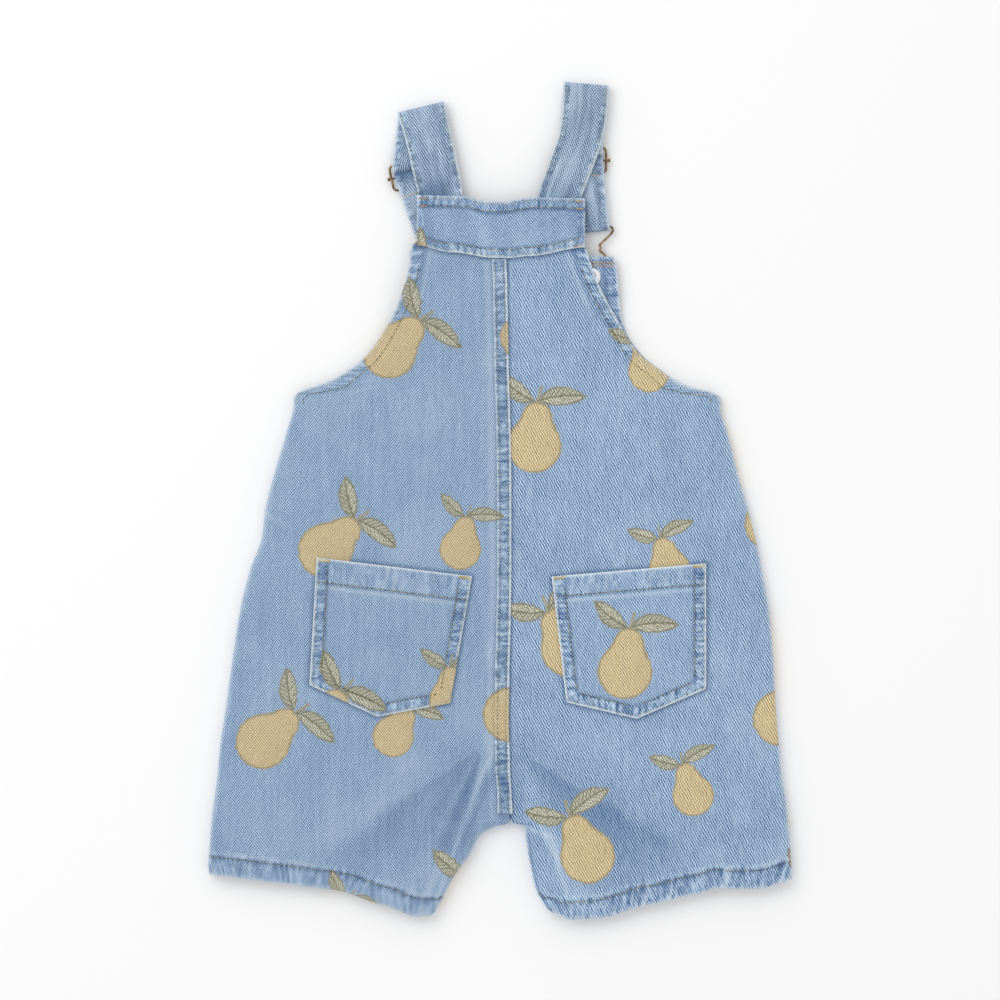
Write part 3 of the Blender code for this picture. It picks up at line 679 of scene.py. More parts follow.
panels = {
    "back_left": {
        "outer": sideLeft,
        "inner": backSeam + legLeft,
        "outerEdges": "LLLROOOO" + "F" * 18,
        "innerEdges": "L" * 19 + "CC" + "F" * 5,
        "wave": [(0, 0), (0.2, 1.2), (0.4, 2.8), (0.57, 3.6), (0.76, -0.6), (0.9, -5), (0.97, -3), (1, 0)],
        "back": True,
        "map": (0.31, 18.0, 61.0),
        "seed": 11,
    },
    "back_right": {
        "outer": sideRight,
        "inner": backSeam + legRight,
        "outerEdges": "LLLROOOO" + "F" * 18,
        "innerEdges": "L" * 19 + "C" + "F" * 6,
        "wave": [
            (0, 0), (0.13, -3.4), (0.23, -1.6), (0.3, 0.8), (0.39, -1.6), (0.58, -4.8), (0.78, -9.9),
            (0.9, -8.8), (0.97, -3), (1, 0),
        ],
        "back": True,
        "map": (-0.1, 352.0, 23.0),
        "seed": 23,
    },
}
panels["front_left"] = {
    **panels["back_left"],
    "outer": bibLeft + sideLeft[8:],
    "inner": frontSeam + legLeft,
    "outerEdges": "L" * 8 + "F" * 18,
    "back": False,
    "map": (0.2, 131.0, 90.0),
    "seed": 37,
}
panels["front_right"] = {
    **panels["back_right"],
    "outer": bibRight + sideRight[8:],
    "inner": frontSeam + legRight,
    "outerEdges": "L" * 8 + "F" * 18,
    "back": False,
    "map": (-0.25, 77.0, 12.0),
    "seed": 41,
}

# Each hook hangs from its strap: bar centre and tilt
hooks = {"left": (-41.4, 176.9, 20.0), "right": (58.2, 180.8, 6.0)}
bibLook = {"lift": 4.4, "down": 26.0, "flat": 20.0, "reach": 56.0}


def hookAxis(side, down):
    return placed(*hooks[side], 0, -down)


def bibLift(x, y):
    lift = np.zeros_like(x)
    for side in hooks:
        cx, cy = hookAxis(side, bibLook["down"])
        away = np.hypot(x - cx, y - cy)
        share = ease(1 - (away - bibLook["flat"]) / (bibLook["reach"] - bibLook["flat"]))
        lift = np.maximum(lift, bibLook["lift"] * share)
    return lift


def foldRise(x, y, folds):
    rise = np.zeros_like(x)
    for x1, y1, x2, y2, height, half in folds:
        run = math.hypot(x2 - x1, y2 - y1)
        along = ((x - x1) * (x2 - x1) + (y - y1) * (y2 - y1)) / run
        across = ((x2 - x1) * (y - y1) - (y2 - y1) * (x - x1)) / run
        across = across + 2.2 * unevenness(along, across, 26, 5)
        past = np.maximum(np.maximum(-along, along - run), 0)
        rise += height * np.exp(-2 * (past / 14) ** 2 - (across / half) ** 2)
    return rise


yokeLook = {
    "left": -55.3,
    "right": 56.6,
    "top": [(0, 203), (0.27, 202.4), (0.42, 198.8), (0.5, 198.6), (0.7, 201.4), (1, 200.9)],
    "foot": [(0, 169.6), (0.2, 165), (0.47, 161.2), (0.55, 161.2), (0.67, 162.6), (1, 168.2)],
    "cloth": 1.4,
    "topBand": 7.4,
    "footBand": 6.4,
    "sideBand": 5,
    "map": (0.9, 230, 40),
    # below this the centre seam shows
    "seamShows": 160,
}

pockets = {
    "left": {
        "corners": [(-122.2, -38.3), (-18.6, -50.8), (-33.2, -135.4), (-81.9, -144.4), (-127, -123.2)],
        "hem": 16.0,
        "map": (0.12, 20.0, 158.0),
        "seed": 71,
    },
    "right": {
        "corners": [(34.4, -51), (137.4, -42.2), (137.4, -125.8), (91.2, -145.8), (44.3, -134.8)],
        "hem": 13.5,
        "map": (-0.06, 302.0, 176.0),
        "seed": 83,
    },
}


def sewnShadow(x, y):
    # the thin dark line that lies beside the pockets and below the yoke
    foot = easedTable(yokeLook["foot"], (x - yokeLook["left"]) / (yokeLook["right"] - yokeLook["left"]))
    shade = line(foot - y, 0.6, 1.3) * (np.abs(x) < 58)
    for look in pockets.values():
        corners = np.array(look["corners"])
        for start, end in zip(corners, np.roll(corners, -1, axis=0)):
            run = end - start
            share = np.clip(((x - start[0]) * run[0] + (y - start[1]) * run[1]) / np.dot(run, run), 0, 1)
            away = np.hypot(x - start[0] - run[0] * share, y - start[1] - run[1] * share)
            shade = np.maximum(shade, line(away, 0.6, 1.5))
    return shade


def fanShade(x, y):
    # how much painted fold shade darkens the cloth in the fans that open out from the crotch
    shade = np.zeros_like(x)
    for tip, first, last, reach, across, along in fanTable:
        way, wayFirst, wayLast = (np.arctan2(-(py - tip[1]), px - tip[0]) for px, py in ((x, y), first, last))
        away = np.hypot(x - tip[0], y - tip[1])
        share = (way - wayFirst) / (wayLast - wayFirst) + 0.05 * unevenness(x, y, 16, 7)
        shade += easedTable(across, share) * easedTable(along, away / reach)
    return shade


def edgeShare(edge, distance):
    low, reach, roundness = edge[:, 0:1], edge[:, 1:2], edge[:, 2:3]
    left = 1 - np.clip(distance / reach, 0, 1)
    rise = (1 - roundness) * (1 - left**2) + roundness * np.sqrt(np.maximum(1 - left**2, 0))
    return low + (1 - low) * rise


def panelGrid(look):
    # places in plan, distances from the edges, and how high the layer stands at each
    outerRows, innerRows = np.array(look["outer"], float), np.array(look["inner"], float)
    lengths = pathLengths((outerRows + innerRows) / 2)
    rowStep, middle, edgeColumns = layerLook["grid"][look["back"]]
    count = int(lengths[-1] / rowStep)
    places = np.interp(np.linspace(0, lengths[-1], count + 1), lengths, np.linspace(0, 1, len(lengths)))
    outer, inner = throughRows(outerRows, places), throughRows(innerRows, places)
    seam = np.array(look["inner"][: layerLook["seamRows"]])
    above = inner[:, 1] > seam[-1, 1]
    inner[above, 0] = easedTable([(y, x) for x, y in seam], inner[above, 1])
    inner[:, 0] -= np.sign(inner[:, 0] - outer[:, 0]) * layerLook["seamGap"] / 2
    kinds = layerLook["edges"]
    outerEdge, innerEdge = (
        straightRows([kinds[letter] for letter in look[edges]], places)
        for edges in ("outerEdges", "innerEdges")
    )
    length = np.linalg.norm(inner - outer, axis=1)[:, None]
    steps = 1 - np.cos(np.linspace(0, math.pi / 2, edgeColumns))
    first = steps[None, :] * outerEdge[:, 1:2]
    last = length - steps[None, ::-1] * innerEdge[:, 1:2]
    between = np.linspace(0, 1, middle + 1)[None, 1:-1]
    distance = np.hstack([first, first[:, -1:] + (last[:, :1] - first[:, -1:]) * between, last])
    share = distance / length
    x = outer[:, 0:1] + (inner - outer)[:, 0:1] * share
    y = outer[:, 1:2] + (inner - outer)[:, 1:2] * share
    waveStarts = layerLook["waveStarts"]
    hem = np.clip((places - waveStarts) / (1 - waveStarts), 0, 1)[:, None] ** 2
    y = y + easedTable(look["wave"], share) * hem
    stepDown = np.hypot(np.diff(x, axis=0), np.diff(y, axis=0))
    fromHem = np.vstack([np.cumsum(stepDown[::-1], axis=0)[::-1], np.zeros((1, x.shape[1]))])
    fromTop = np.vstack([np.zeros((1, x.shape[1])), np.cumsum(stepDown, axis=0)])
    rowWay = (inner - outer) / length
    grids = {"x": x, "y": y, "share": share, "fromHem": fromHem, "fromTop": fromTop}
    for name, edge, gone in (("outer", outer, distance), ("inner", inner, length - distance)):
        way = np.gradient(edge, axis=0)
        way /= np.linalg.norm(way, axis=1, keepdims=True)
        slant = np.abs(rowWay[:, 0] * way[:, 1] - rowWay[:, 1] * way[:, 0])[:, None]
        grids[name + "Far"] = gone * np.maximum(slant, 0.35)
        grids[name + "Along"] = pathLengths(edge)[:, None]
    grids["height"] = edgeShare(outerEdge, distance) * edgeShare(innerEdge, length - distance)
    atRow = places[:, None] * (len(outerRows) - 1)
    grids["armhole"] = (atRow < layerLook["armholeEnds"]).astype(float)
    grids["legFold"] = ease(atRow - layerLook["legStarts"])
    return grids


def mapped(x, y, place):
    # the cloth's own places, turned and moved so that each piece shows another part of the print
    turn, u, v = place
    return placed(u, v, math.degrees(turn), x, y)


def makePanel(name):
    look = panels[name]
    back, seed = look["back"], look["seed"]
    hemBand, turnedBand, seamGap = layerLook["hemBand"], layerLook["turnedBand"], layerLook["seamGap"]
    g = panelGrid(look)
    x, y, outer, inner, fromHem = g["x"], g["y"], g["outerFar"], g["innerFar"], g["fromHem"]
    full = easedTable(layerLook["heights"], y)
    armhole = g["armhole"] * band(outer, turnedBand)
    hem = band(fromHem, hemBand)
    hemAlong = g["share"] * layerLook["hemAround"]
    armPuckers = puckers(g["outerAlong"], outer, 5.6, seed)
    hemPuckers = puckers(hemAlong + fromHem * 0.35, fromHem, 6.4, seed + 3)
    sewn = 0.8 * armhole * armPuckers + 1.1 * hem * hemPuckers
    relief = 0.3 * armhole + 0.55 * hem + 0.28 * sewn - 0.35 * hem * line(fromHem, hemBand - 1.0, 0.9)
    relief += 0.22 * unevenness(x, y, 34, seed + 6) + 0.1 * unevenness(x, y, 13, seed + 7)
    inside = np.clip(2 * g["height"] - 1, 0, 1)
    folds = foldRise(x, y, foldTable if back else frontFolds)
    upper = g["armhole"] * (0.4 + 0.6 * ease((y - 95) / 40))
    fadeAndShading = 0.34 * sewn - 0.04 * (hem + armhole)
    fadeAndShading += 0.04 * unevenness(x, y, 46, seed + 8) + 0.05 * unevenness(x, y, 15, seed + 9)
    fadeAndShading += lines(
        (0.75 * g["armhole"], outer, 0, 1.1),
        (0.6, fromHem, 0, 1.1),
        # painted shade in the groove of the hem's stitching, then a painted highlight just past the hem band
        ((0.3 * hemPuckers - 0.5) * hem, fromHem, hemBand - 1.6, 1.5),
        (0.16 + 0.2 * hemPuckers, fromHem, hemBand + 1.4, 1.2),
        (0.14 * upper, outer, turnedBand + 4.4, 1.4),
        # painted shadow beside the armhole's turned band
        (-0.3 * upper, outer, turnedBand + 0.4, 1.8),
        (0.3 * (1 - g["armhole"]), outer, 0, 1.6),
        (0.3 * g["legFold"], inner, 0, 1.6),
    )
    if back:
        z = full * g["height"] + (folds + relief) * inside + seamGap / 2
        # painted shade in the folds' troughs and painted highlight on their ridges
        fadeAndShading += 0.05 * np.minimum(folds, 0) + 0.06 * np.maximum(folds, 0)
        fadeAndShading += foldRise(x, y, creaseTable) - fanShade(x, y) - 0.4 * sewnShadow(x, y)
        # on the right panel a painted shadow line beside the centre seam's fold, on the left a paler strip
        seamShadowAndPaleStrip = (-0.4, inner, 1.6, 1.0) if name == "back_right" else (0.16, inner, 11.5, 2.6)
        fadeAndShading += (y < yokeLook["seamShows"]) * lines(seamShadowAndPaleStrip)
    else:
        z = np.maximum(full * (1 - g["height"]) - seamGap / 2, 0) + bibLift(x, y) + folds * inside
        # a pale rubbed edge along the bib's top, and painted shade where the front's folds rise off the floor
        fadeAndShading += 0.5 * line(g["fromTop"], 0, 1.0) - 0.16 * folds
    rubbed = np.clip(0.9 * hem + armhole + 0.6 * line(fromHem, hemBand + 2, 2.4), 0, 1)
    onArmhole = armhole > hem
    edgeMap = (np.where(onArmhole, g["outerAlong"], hemAlong), np.where(onArmhole, outer, fromHem))
    maps, wornAndLit = (mapped(x, y, look["map"]), edgeMap), (fadeAndShading, rubbed)
    material = denims[name.split("_")[1]]
    piece = clothShell(name, (x, y, z), maps, wornAndLit, layerLook["cloth"], material, up=back, offset=-1.0)
    return piece, g


cloth, grids = {}, {}
for name in panels:
    cloth[name], grids[name] = makePanel(name)
print("panels made")

backTree = surfaceTree(cloth["back_left"], cloth["back_right"])


# Pieces sewn on the back: each lies on the panels' own surface


def seated(x, y, gap=0.3):
    # the panels' surface under a sewn-on piece, evened out so that the cloth bridges small dips
    z = surfaceHeight(backTree, x, y)
    level = easedTable(layerLook["heights"], y) + 0.2
    z = np.where(z < 0, level, z)
    smooth = z.copy()
    for _ in range(3):
        padded = np.pad(smooth, 1, mode="edge")
        smooth = (padded[:-2, 1:-1] + padded[2:, 1:-1] + padded[1:-1, :-2] + padded[1:-1, 2:]) / 4
    return np.maximum(smooth, z) + gap


def makeYoke():
    across, down = np.meshgrid(np.linspace(0, 1, 101), np.linspace(0, 1, 40))
    top, foot = easedTable(yokeLook["top"], across), easedTable(yokeLook["foot"], across)
    x = yokeLook["left"] + (yokeLook["right"] - yokeLook["left"]) * across
    y = top + (foot - top) * down
    fromTop, fromFoot = (top - foot) * down, (top - foot) * (1 - down)
    fromSide = np.minimum(x - yokeLook["left"], yokeLook["right"] - x)
    atTop, atFoot = band(fromTop, yokeLook["topBand"]), band(fromFoot, yokeLook["footBand"])
    atSide = band(fromSide, yokeLook["sideBand"])
    ridges = atTop * puckers(x, fromTop, 4.6, 51) + atFoot * puckers(x, fromFoot, 4.6, 53)
    ridges += 0.8 * atSide * puckers(y, fromSide, 4.6, 55)
    z = seated(x, y) + 0.22 * (atTop + atFoot) + 0.25 * ridges + 0.2 * unevenness(x, y, 18, 57)
    fadeAndShading = 0.36 * ridges - 0.1 * (atTop + atFoot)
    fadeAndShading += 0.08 * unevenness(x, y, 20, 58) + 0.13 * unevenness(x, y * 0.35, 8, 59)
    fadeAndShading += lines(
        # pale rubbed edges; painted shade along the sides and in lines beside the inner stitch rows at the
        # top and foot
        (0.7, fromTop, 0, 0.9), (0.95, fromFoot, 0, 1.0), (0.7, fromSide, 0, 0.9), (-0.16, fromSide, 6, 6),
        (-0.55, fromTop, yokeLook["topBand"], 1.1), (-0.4, fromFoot, yokeLook["footBand"], 0.8),
    )
    maps = (mapped(x, y, yokeLook["map"]), (x, np.minimum(fromTop, fromFoot)))
    wornAndLit = (fadeAndShading, np.clip(atTop + atFoot + atSide, 0, 1))
    return clothShell("back_yoke", (x, y, z), maps, wornAndLit, yokeLook["cloth"], denims["yoke"])


seamLook = {"width": 9.5, "lap": 1.0, "top": 160.6, "end": -209.0, "cloth": 1.0}


def makeCentreSeam():
    across, down = np.meshgrid(np.linspace(0, 1, 11), np.linspace(0, 1, 300))
    y = seamLook["top"] + (seamLook["end"] - seamLook["top"]) * down
    edge = easedTable([(py, px) for px, py in backSeam], y) + seamLook["lap"]
    x = edge - seamLook["width"] * across
    fromFold, fromRaw = across * seamLook["width"], (1 - across) * seamLook["width"]
    ridges = puckers(y, across * 8, 4.2, 61)
    z = seated(x, y) + 0.18 * ridges - 0.2 * line(fromFold, 2.1, 0.9)
    # painted shade in the grooves of the two stitch rows
    sunkShade = -0.3 - 0.3 * ridges
    stained = -0.4 * np.clip(unevenness(y, y * 0, 17, 63), 0, 1)
    fadeAndShading = 0.42 * ridges - 0.06
    fadeAndShading += lines(
        (1.6, fromFold, 0, 0.9), (0.75, fromRaw, 0, 1.0),
        (sunkShade, fromFold, 1.9, 0.7), (sunkShade, fromFold, 7.4, 0.7), (stained, fromFold, 3.0, 2.6),
    )
    maps = (mapped(x, y, panels["back_left"]["map"]), (y, fromFold))
    return clothShell("back_centre_seam", (x, y, z), maps, (fadeAndShading, 1.5), seamLook["cloth"], denims["seam"])


def edgeDistance(x, y, start, end):
    # how far places are from the straight line through two corners
    run = np.array(end, float) - np.array(start, float)
    return np.abs(run[0] * (y - start[1]) - run[1] * (x - start[0])) / np.hypot(*run)


def makePocket(side):
    look = pockets[side]
    seed, hem, corners = look["seed"], look["hem"], look["corners"]
    topLeft, topRight, lowRight, point, lowLeft = (np.array(corner, float) for corner in corners)
    across, down = np.meshgrid(np.linspace(0, 1, 93), np.linspace(0, 1, 87))
    half = across[..., None] * 2
    top = topLeft + (topRight - topLeft) * across[..., None]
    leftFoot = lowLeft + (point - lowLeft) * np.minimum(half, 1)
    foot = np.where(half <= 1, leftFoot, point + (lowRight - point) * (half - 1))
    place = top + (foot - top) * down[..., None]
    x, y = place[..., 0], place[..., 1]
    fromTop = edgeDistance(x, y, corners[0], corners[1])
    rest = [edgeDistance(x, y, corners[k], corners[(k + 1) % 5]) for k in range(1, 5)]
    fromEdge = np.minimum.reduce(rest)
    around = np.choose(np.argmin(rest, axis=0), [y, x, x, y])
    edgeBand, hemBand = band(fromEdge, 8.2), band(fromTop, hem, 1.4)
    ridges = edgeBand * puckers(around, fromEdge, 4.4, seed)
    ridges += 0.5 * hemBand * puckers(x, fromTop, 6.0, seed + 3)
    z = seated(x, y) + 0.25 * (edgeBand + hemBand) + 0.28 * ridges
    z += 0.5 * (1 - line(fromEdge, 0, 14)) + 0.12 * unevenness(x, y, 20, seed + 6)
    # painted shade in the grooves of the stitch rows along the edges
    sunkShade = -0.2 - 0.3 * ridges
    fadeAndShading = 0.44 * ridges + 0.06 * unevenness(x, y, 16, seed + 7) - 0.1 * edgeBand
    fadeAndShading += lines(
        (1.5, fromEdge, 0, 0.9), (1.3, fromTop, 0, 0.9),
        (sunkShade, fromEdge, 1.6, 0.7), (sunkShade, fromEdge, 7.4, 0.7),
        # painted shade just under the hem's stitching and just inside the turned edge's band
        (-0.35, fromTop, hem + 0.8, 0.9), (-0.25, fromEdge, 8.6, 1.0), (0.2, fromTop, hem + 3, 1.5),
        (-0.25 * edgeBand, fromTop, 20, 12),
    )
    rubbed = np.clip(1.5 * edgeBand + 0.5 * hemBand, 0, 1.5)
    atEdge = edgeBand > 0.5
    edgeMap = (np.where(atEdge, around, x + 400), np.where(atEdge, fromEdge, fromTop))
    maps, name = (mapped(x, y, look["map"]), edgeMap), "pocket_" + side
    return clothShell(name, (x, y, z), maps, (fadeAndShading, rubbed), layerLook["cloth"], denims[name])


cloth["back_yoke"] = makeYoke()
cloth["back_centre_seam"] = makeCentreSeam()
for side in pockets:
    cloth["pocket_" + side] = makePocket(side)
print("yoke, centre seam and pockets made")


# Straps: over the shoulder, through the slider, round the hook's bar and back to the slider.
# A row is x, y, z, width and tilt across.

strapLook = {
    "cloth": 1.2,
    "frontWidth": 30.0,
    "foldRadius": 2.2,
    "barTurn": 1.7,
    "outerLayer": 1.5,
    "innerLayer": 4.9,
    "wireLevel": 3.2,
    "wire": 1.6,
    "sliderHeight": 18.0,
    "roll": [(0.8, 0.05), (1.5, 0.25), (2.1, 0.6), (2.6, 1.15)],
}
straps = {
    "left": {
        "back": [
            (-38, 190, 8.2, 28.6, 6), (-39.4, 203, 8.2, 29, 10), (-42.6, 218.4, 7.7, 30.4, 12),
            (-46.8, 238, 6.6, 30.6, 12), (-49.6, 250, 5.6, 31.4, 13),
        ],
        "fold": (-52.2, 259.8, 3.1, 32.6, 13.5),
        "slider": (-55.6, 218.0, 12.5),
        "map": (40.0, 30.0),
        "stain": 0.75,
        "rollShade": 0.8,
        "stainSide": -0.1,
        "seed": 91,
    },
    "right": {
        "back": [
            (36.8, 190, 8.2, 28, -14), (39.6, 202.6, 8.2, 28.4, -18), (44.6, 216.5, 7.9, 28.6, -20),
            (51.8, 236, 7.2, 29.2, -17), (55.2, 250, 6.5, 29.8, -9), (56.8, 263.3, 5.7, 30.4, -5),
        ],
        "fold": (57.4, 275.2, 3.1, 30.6, -5),
        "slider": (53.6, 226.8, 0.0),
        "map": (90.0, 70.0),
        "stain": 0.45,
        "rollShade": 0.35,
        "stainSide": 0.1,
        "seed": 97,
    },
}


def halfTurn(row, radius, start, end, steps):
    x, y, z, width, tilt = row
    return [
        (*placed(x, y, tilt, 0, radius * math.cos(angle)), z + radius * math.sin(angle), width, tilt)
        for angle in np.radians(np.linspace(start, end, steps + 1))
    ]


def easedRows(a, b, steps):
    a, b = np.array(a, float), np.array(b, float)
    rows = []
    for share in np.arange(1, steps) / steps:
        row = a + (b - a) * share
        row[2] = a[2] + (b[2] - a[2]) * ease(share)
        rows.append(tuple(row))
    return rows


def strapRows(side):
    look = straps[side]
    inner, outer, wide = strapLook["innerLayer"], strapLook["outerLayer"], strapLook["frontWidth"]
    over = [tuple(row) for row in throughRows(look["back"], np.linspace(0, 1, 44))]
    top = halfTurn(look["fold"], strapLook["foldRadius"], 90, -90, 16)

    def onSlider(along, z):
        return (*placed(*look["slider"], 0, along), z, wide, look["slider"][2])

    high = onSlider((strapLook["sliderHeight"] - strapLook["wire"]) / 2, inner)
    low = onSlider(0.0, outer)
    hx, hy, hookTilt = hooks[side]
    bottom = halfTurn((hx, hy, strapLook["wireLevel"], wide, hookTilt), strapLook["barTurn"], -90, -270, 14)
    end = onSlider(-0.2, inner)
    # the end rolls over the slider's bar
    roll = [onSlider(ahead, inner - drop) for ahead, drop in strapLook["roll"]]
    rows = over + top + easedRows(top[-1], high, 18) + [high] + easedRows(high, low, 10) + [low]
    rows += easedRows(low, bottom[0], 16) + bottom + easedRows(bottom[-1], end, 16) + [end] + roll
    return np.array(rows), len(over)


def makeStrap(side):
    look = straps[side]
    seed, (u, v) = look["seed"], look["map"]
    rows, overCount = strapRows(side)
    across = np.linspace(-0.5, 0.5, 17)[None, :]
    width = rows[:, 3:4]
    x, y = placed(rows[:, 0:1], rows[:, 1:2], rows[:, 4:5], width * across, 0)
    length = pathLengths(rows[:, :3])[:, None]
    fromStart, fromEnd = np.arange(len(rows)), length[-1] - length
    fromEdge, wide = (0.5 - np.abs(across)) * width, (across + 0.5) * width
    shown = (ease((overCount - 2 - fromStart) / 8) * ease(fromStart / 8))[:, None]
    ridges = band(fromEdge, 4.5) * puckers(length, fromEdge, 4.8, seed)
    lengthwise = unevenness(wide, length * 0.16, 4.2, seed + 3)
    uneven = 0.45 * lengthwise + 0.35 * unevenness(wide, length, 13, seed + 5)
    z = rows[:, 2:3] + shown * (0.22 * ridges + uneven)
    fadeAndShading = 0.2 * ridges + 0.22 * lengthwise + 0.08 * unevenness(wide, length, 9, seed + 6)
    fadeAndShading += lines(
        (0.9, fromEdge, 0, 0.9), (-look["stain"] * line(across, look["stainSide"], 0.3), length, 15, 9),
        # painted shadow under the end that rolls over the slider's bar, and a painted dark line along its lip
        (-look["rollShade"], fromEnd, 1.5, 5), (-look["rollShade"], fromEnd, 0, 1.3),
    )
    maps, wornAndLit = ((wide + u, length + v), (length, fromEdge)), (fadeAndShading, band(fromEdge, 5))
    name, thick = "strap_" + side, strapLook["cloth"]
    return clothShell(name, (x, y, z), maps, wornAndLit, thick, denims[name], "strap_denim", offset=0.0)


for side in straps:
    cloth["strap_" + side] = makeStrap(side)
print("straps made")


# Metal: hooks and sliders are bent from wire, buttons are turned


def metalPiece(name, mesh, material, slot, replaced):
    bmesh.ops.remove_doubles(mesh, verts=mesh.verts, dist=0.00001)
    bmesh.ops.recalc_face_normals(mesh, faces=mesh.faces)
    data = toData(name, mesh)
    data.shade_smooth()
    data.set_sharp_from_angle(angle=math.radians(50))
    data.materials.append(material)
    return addPiece(name, data, slot, replaced)


def wireTube(mesh, path, radius, sides=10, closed=True):
    # a round wire along a path of places, as rings that are bridged
    path = [Vector(place) for place in path]
    rings = []
    for k, place in enumerate(path):
        before = path[k - 1] if closed or k else place
        after = path[(k + 1) % len(path)] if closed or k + 1 < len(path) else place
        way = (after - before).normalized()
        turn = way.to_track_quat("Z", "Y").to_matrix().to_4x4()
        made = bmesh.ops.create_circle(
            mesh, segments=sides, radius=radius * mm, cap_ends=not closed and k in (0, len(path) - 1)
        )["verts"]
        bmesh.ops.transform(mesh, matrix=Matrix.Translation(place * mm) @ turn, verts=made)
        edges = {edge for vert in made for edge in vert.link_edges if edge.other_vert(vert) in made}
        rings.append(list(edges))
    pairs = list(zip(rings, rings[1:])) + ([(rings[-1], rings[0])] if closed else [])
    for a, b in pairs:
        bmesh.ops.bridge_loops(mesh, edges=a + b)


def wireFrame(x, y, tilt):
    return Matrix.Translation((x, y, strapLook["wireLevel"])) @ Matrix.Rotation(math.radians(tilt), 4, "Z")


hookLook = {"half": 17.0, "waist": 7.0, "waistDown": 11.2, "ring": 11.3, "ringDown": 24.0, "wire": 0.8}


def makeHook(side):
    half, waist, down, ring = (hookLook[label] for label in ("half", "waist", "waistDown", "ring"))
    shape = [(0, 0), (half * 0.5, 0), (half - 2.2, 0), (half - 0.4, -0.6), (half, -2.2), (half - 1.2, -4.4)]
    shape += [(waist + 5.4, -down + 3.9), (waist + 1.7, -down + 1.2), (waist + 0.2, -down - 0.4)]
    shape += [(waist + 0.9, -down - 2.2)]
    angles = np.radians(np.linspace(52, -90, 9))
    shape += [(ring * math.cos(a), ring * math.sin(a) - hookLook["ringDown"]) for a in angles]
    shape += [(-x, y) for x, y in reversed(shape[1:-1])]
    shape.append(shape[0])
    place = wireFrame(*hooks[side])
    mesh = bmesh.new()
    smooth = throughRows(shape, np.linspace(0, 1, 121))[:-1]
    wireTube(mesh, [place @ Vector((px, py, 0)) for px, py in smooth], hookLook["wire"])
    metalPiece("hook_" + side + "_wire", mesh, brass, "aged_brass", "hook_" + side)


sliderLook = {"width": 36.0, "height": 18.0, "wire": 0.8, "corner": 2.4, "knob": 1.25}


def makeSlider(side):
    wire, corner = sliderLook["wire"], sliderLook["corner"]
    wide, high = sliderLook["width"] / 2 - wire, sliderLook["height"] / 2 - wire
    place = wireFrame(*straps[side]["slider"])
    path = []
    for k, (sx, sy) in enumerate(((1, 1), (-1, 1), (-1, -1), (1, -1))):
        for angle in np.radians(np.linspace(90 * k, 90 * k + 90, 6)):
            px = sx * (wide - corner) + corner * math.cos(angle)
            py = sy * (high - corner) + corner * math.sin(angle)
            path.append(place @ Vector((px, py, 0)))
    mesh = bmesh.new()
    wireTube(mesh, path, wire)
    bar = [place @ Vector((share * (wide + 1.6), 0, 0)) for share in np.linspace(-1, 1, 9)]
    wireTube(mesh, bar, wire * 0.95, closed=False)
    for end in (-1, 1):
        centre = Matrix.Translation(place @ Vector((end * (wide + 1.7), 0, 0)) * mm)
        radius = sliderLook["knob"] * mm
        bmesh.ops.create_uvsphere(mesh, u_segments=12, v_segments=8, radius=radius, matrix=centre)
    metalPiece("slider_" + side + "_wire", mesh, brass, "aged_brass", "slider_" + side)


buttonLook = {"down": 32.0, "radius": 7.5, "head": 2.0, "shank": 2.2, "shankTop": 4.1, "tack": 5.7}


def turnedPiece(node, profile, place, material, slot):
    mesh = bmesh.new()
    points = [mesh.verts.new(Vector((radius, 0, z)) * mm) for radius, z in profile]
    edges = [mesh.edges.new(pair) for pair in zip(points, points[1:])]
    bmesh.ops.spin(
        mesh, geom=points + edges, cent=(0, 0, 0), axis=(0, 0, 1), angle=math.tau, steps=40, use_merge=True
    )
    bmesh.ops.translate(mesh, vec=Vector((*place, 0)) * mm, verts=mesh.verts)
    metalPiece(node + "_metal", mesh, material, slot, node)


def makeButton(side):
    place = hookAxis(side, buttonLook["down"])
    radius, head, shank, shankTop, tack = (
        buttonLook[label] for label in ("radius", "head", "shank", "shankTop", "tack")
    )
    profile = [(0, 0.25), (radius * 0.62, 0.3), (radius * 0.7, 0.12), (radius * 0.78, 0.02)]
    profile += [(radius - 0.7, 0), (radius - 0.2, 0.2), (radius, 0.7), (radius, head - 0.6)]
    profile += [(radius - 0.5, head), (shank + 1.0, head), (shank, head + 0.5)]
    profile += [(shank, shankTop), (0, shankTop)]
    turnedPiece("button_" + side, profile, place, brass, "aged_brass")
    low = bibLook["lift"] + layerLook["cloth"] + 0.3
    profile = [(0, low), (tack - 0.5, low), (tack, low + 0.25), (tack - 0.25, low + 0.7)]
    profile += [(tack - 1.2, low + 1.0), (tack * 0.45, low + 0.95), (tack * 0.3, low + 0.6), (0, low + 0.55)]
    turnedPiece("button_tack_" + side, profile, place, nickel, "pale_nickel")


for side in hooks:
    makeHook(side)
    makeSlider(side)
    makeButton(side)
print("hooks, sliders and buttons made")


# Sewing: rows of stitches as small stretched beads, each joined into one mesh

stitchLook = {
    "long": 2.6,
    "wide": 0.76,
    "thick": 0.6,
    "step": 2.95,
    "lift": 0.12,
    # how far each way the slope of the cloth is felt, and the steepest that a stitch leans
    "feel": 0.9,
    "steepest": 0.6,
}


def beadTemplate():
    mesh = bmesh.new()
    bmesh.ops.create_icosphere(mesh, subdivisions=1, radius=0.5)
    places = np.array([vert.co[:] for vert in mesh.verts])
    faces = np.array([[vert.index for vert in face.verts] for face in mesh.faces])
    mesh.free()
    return places, faces


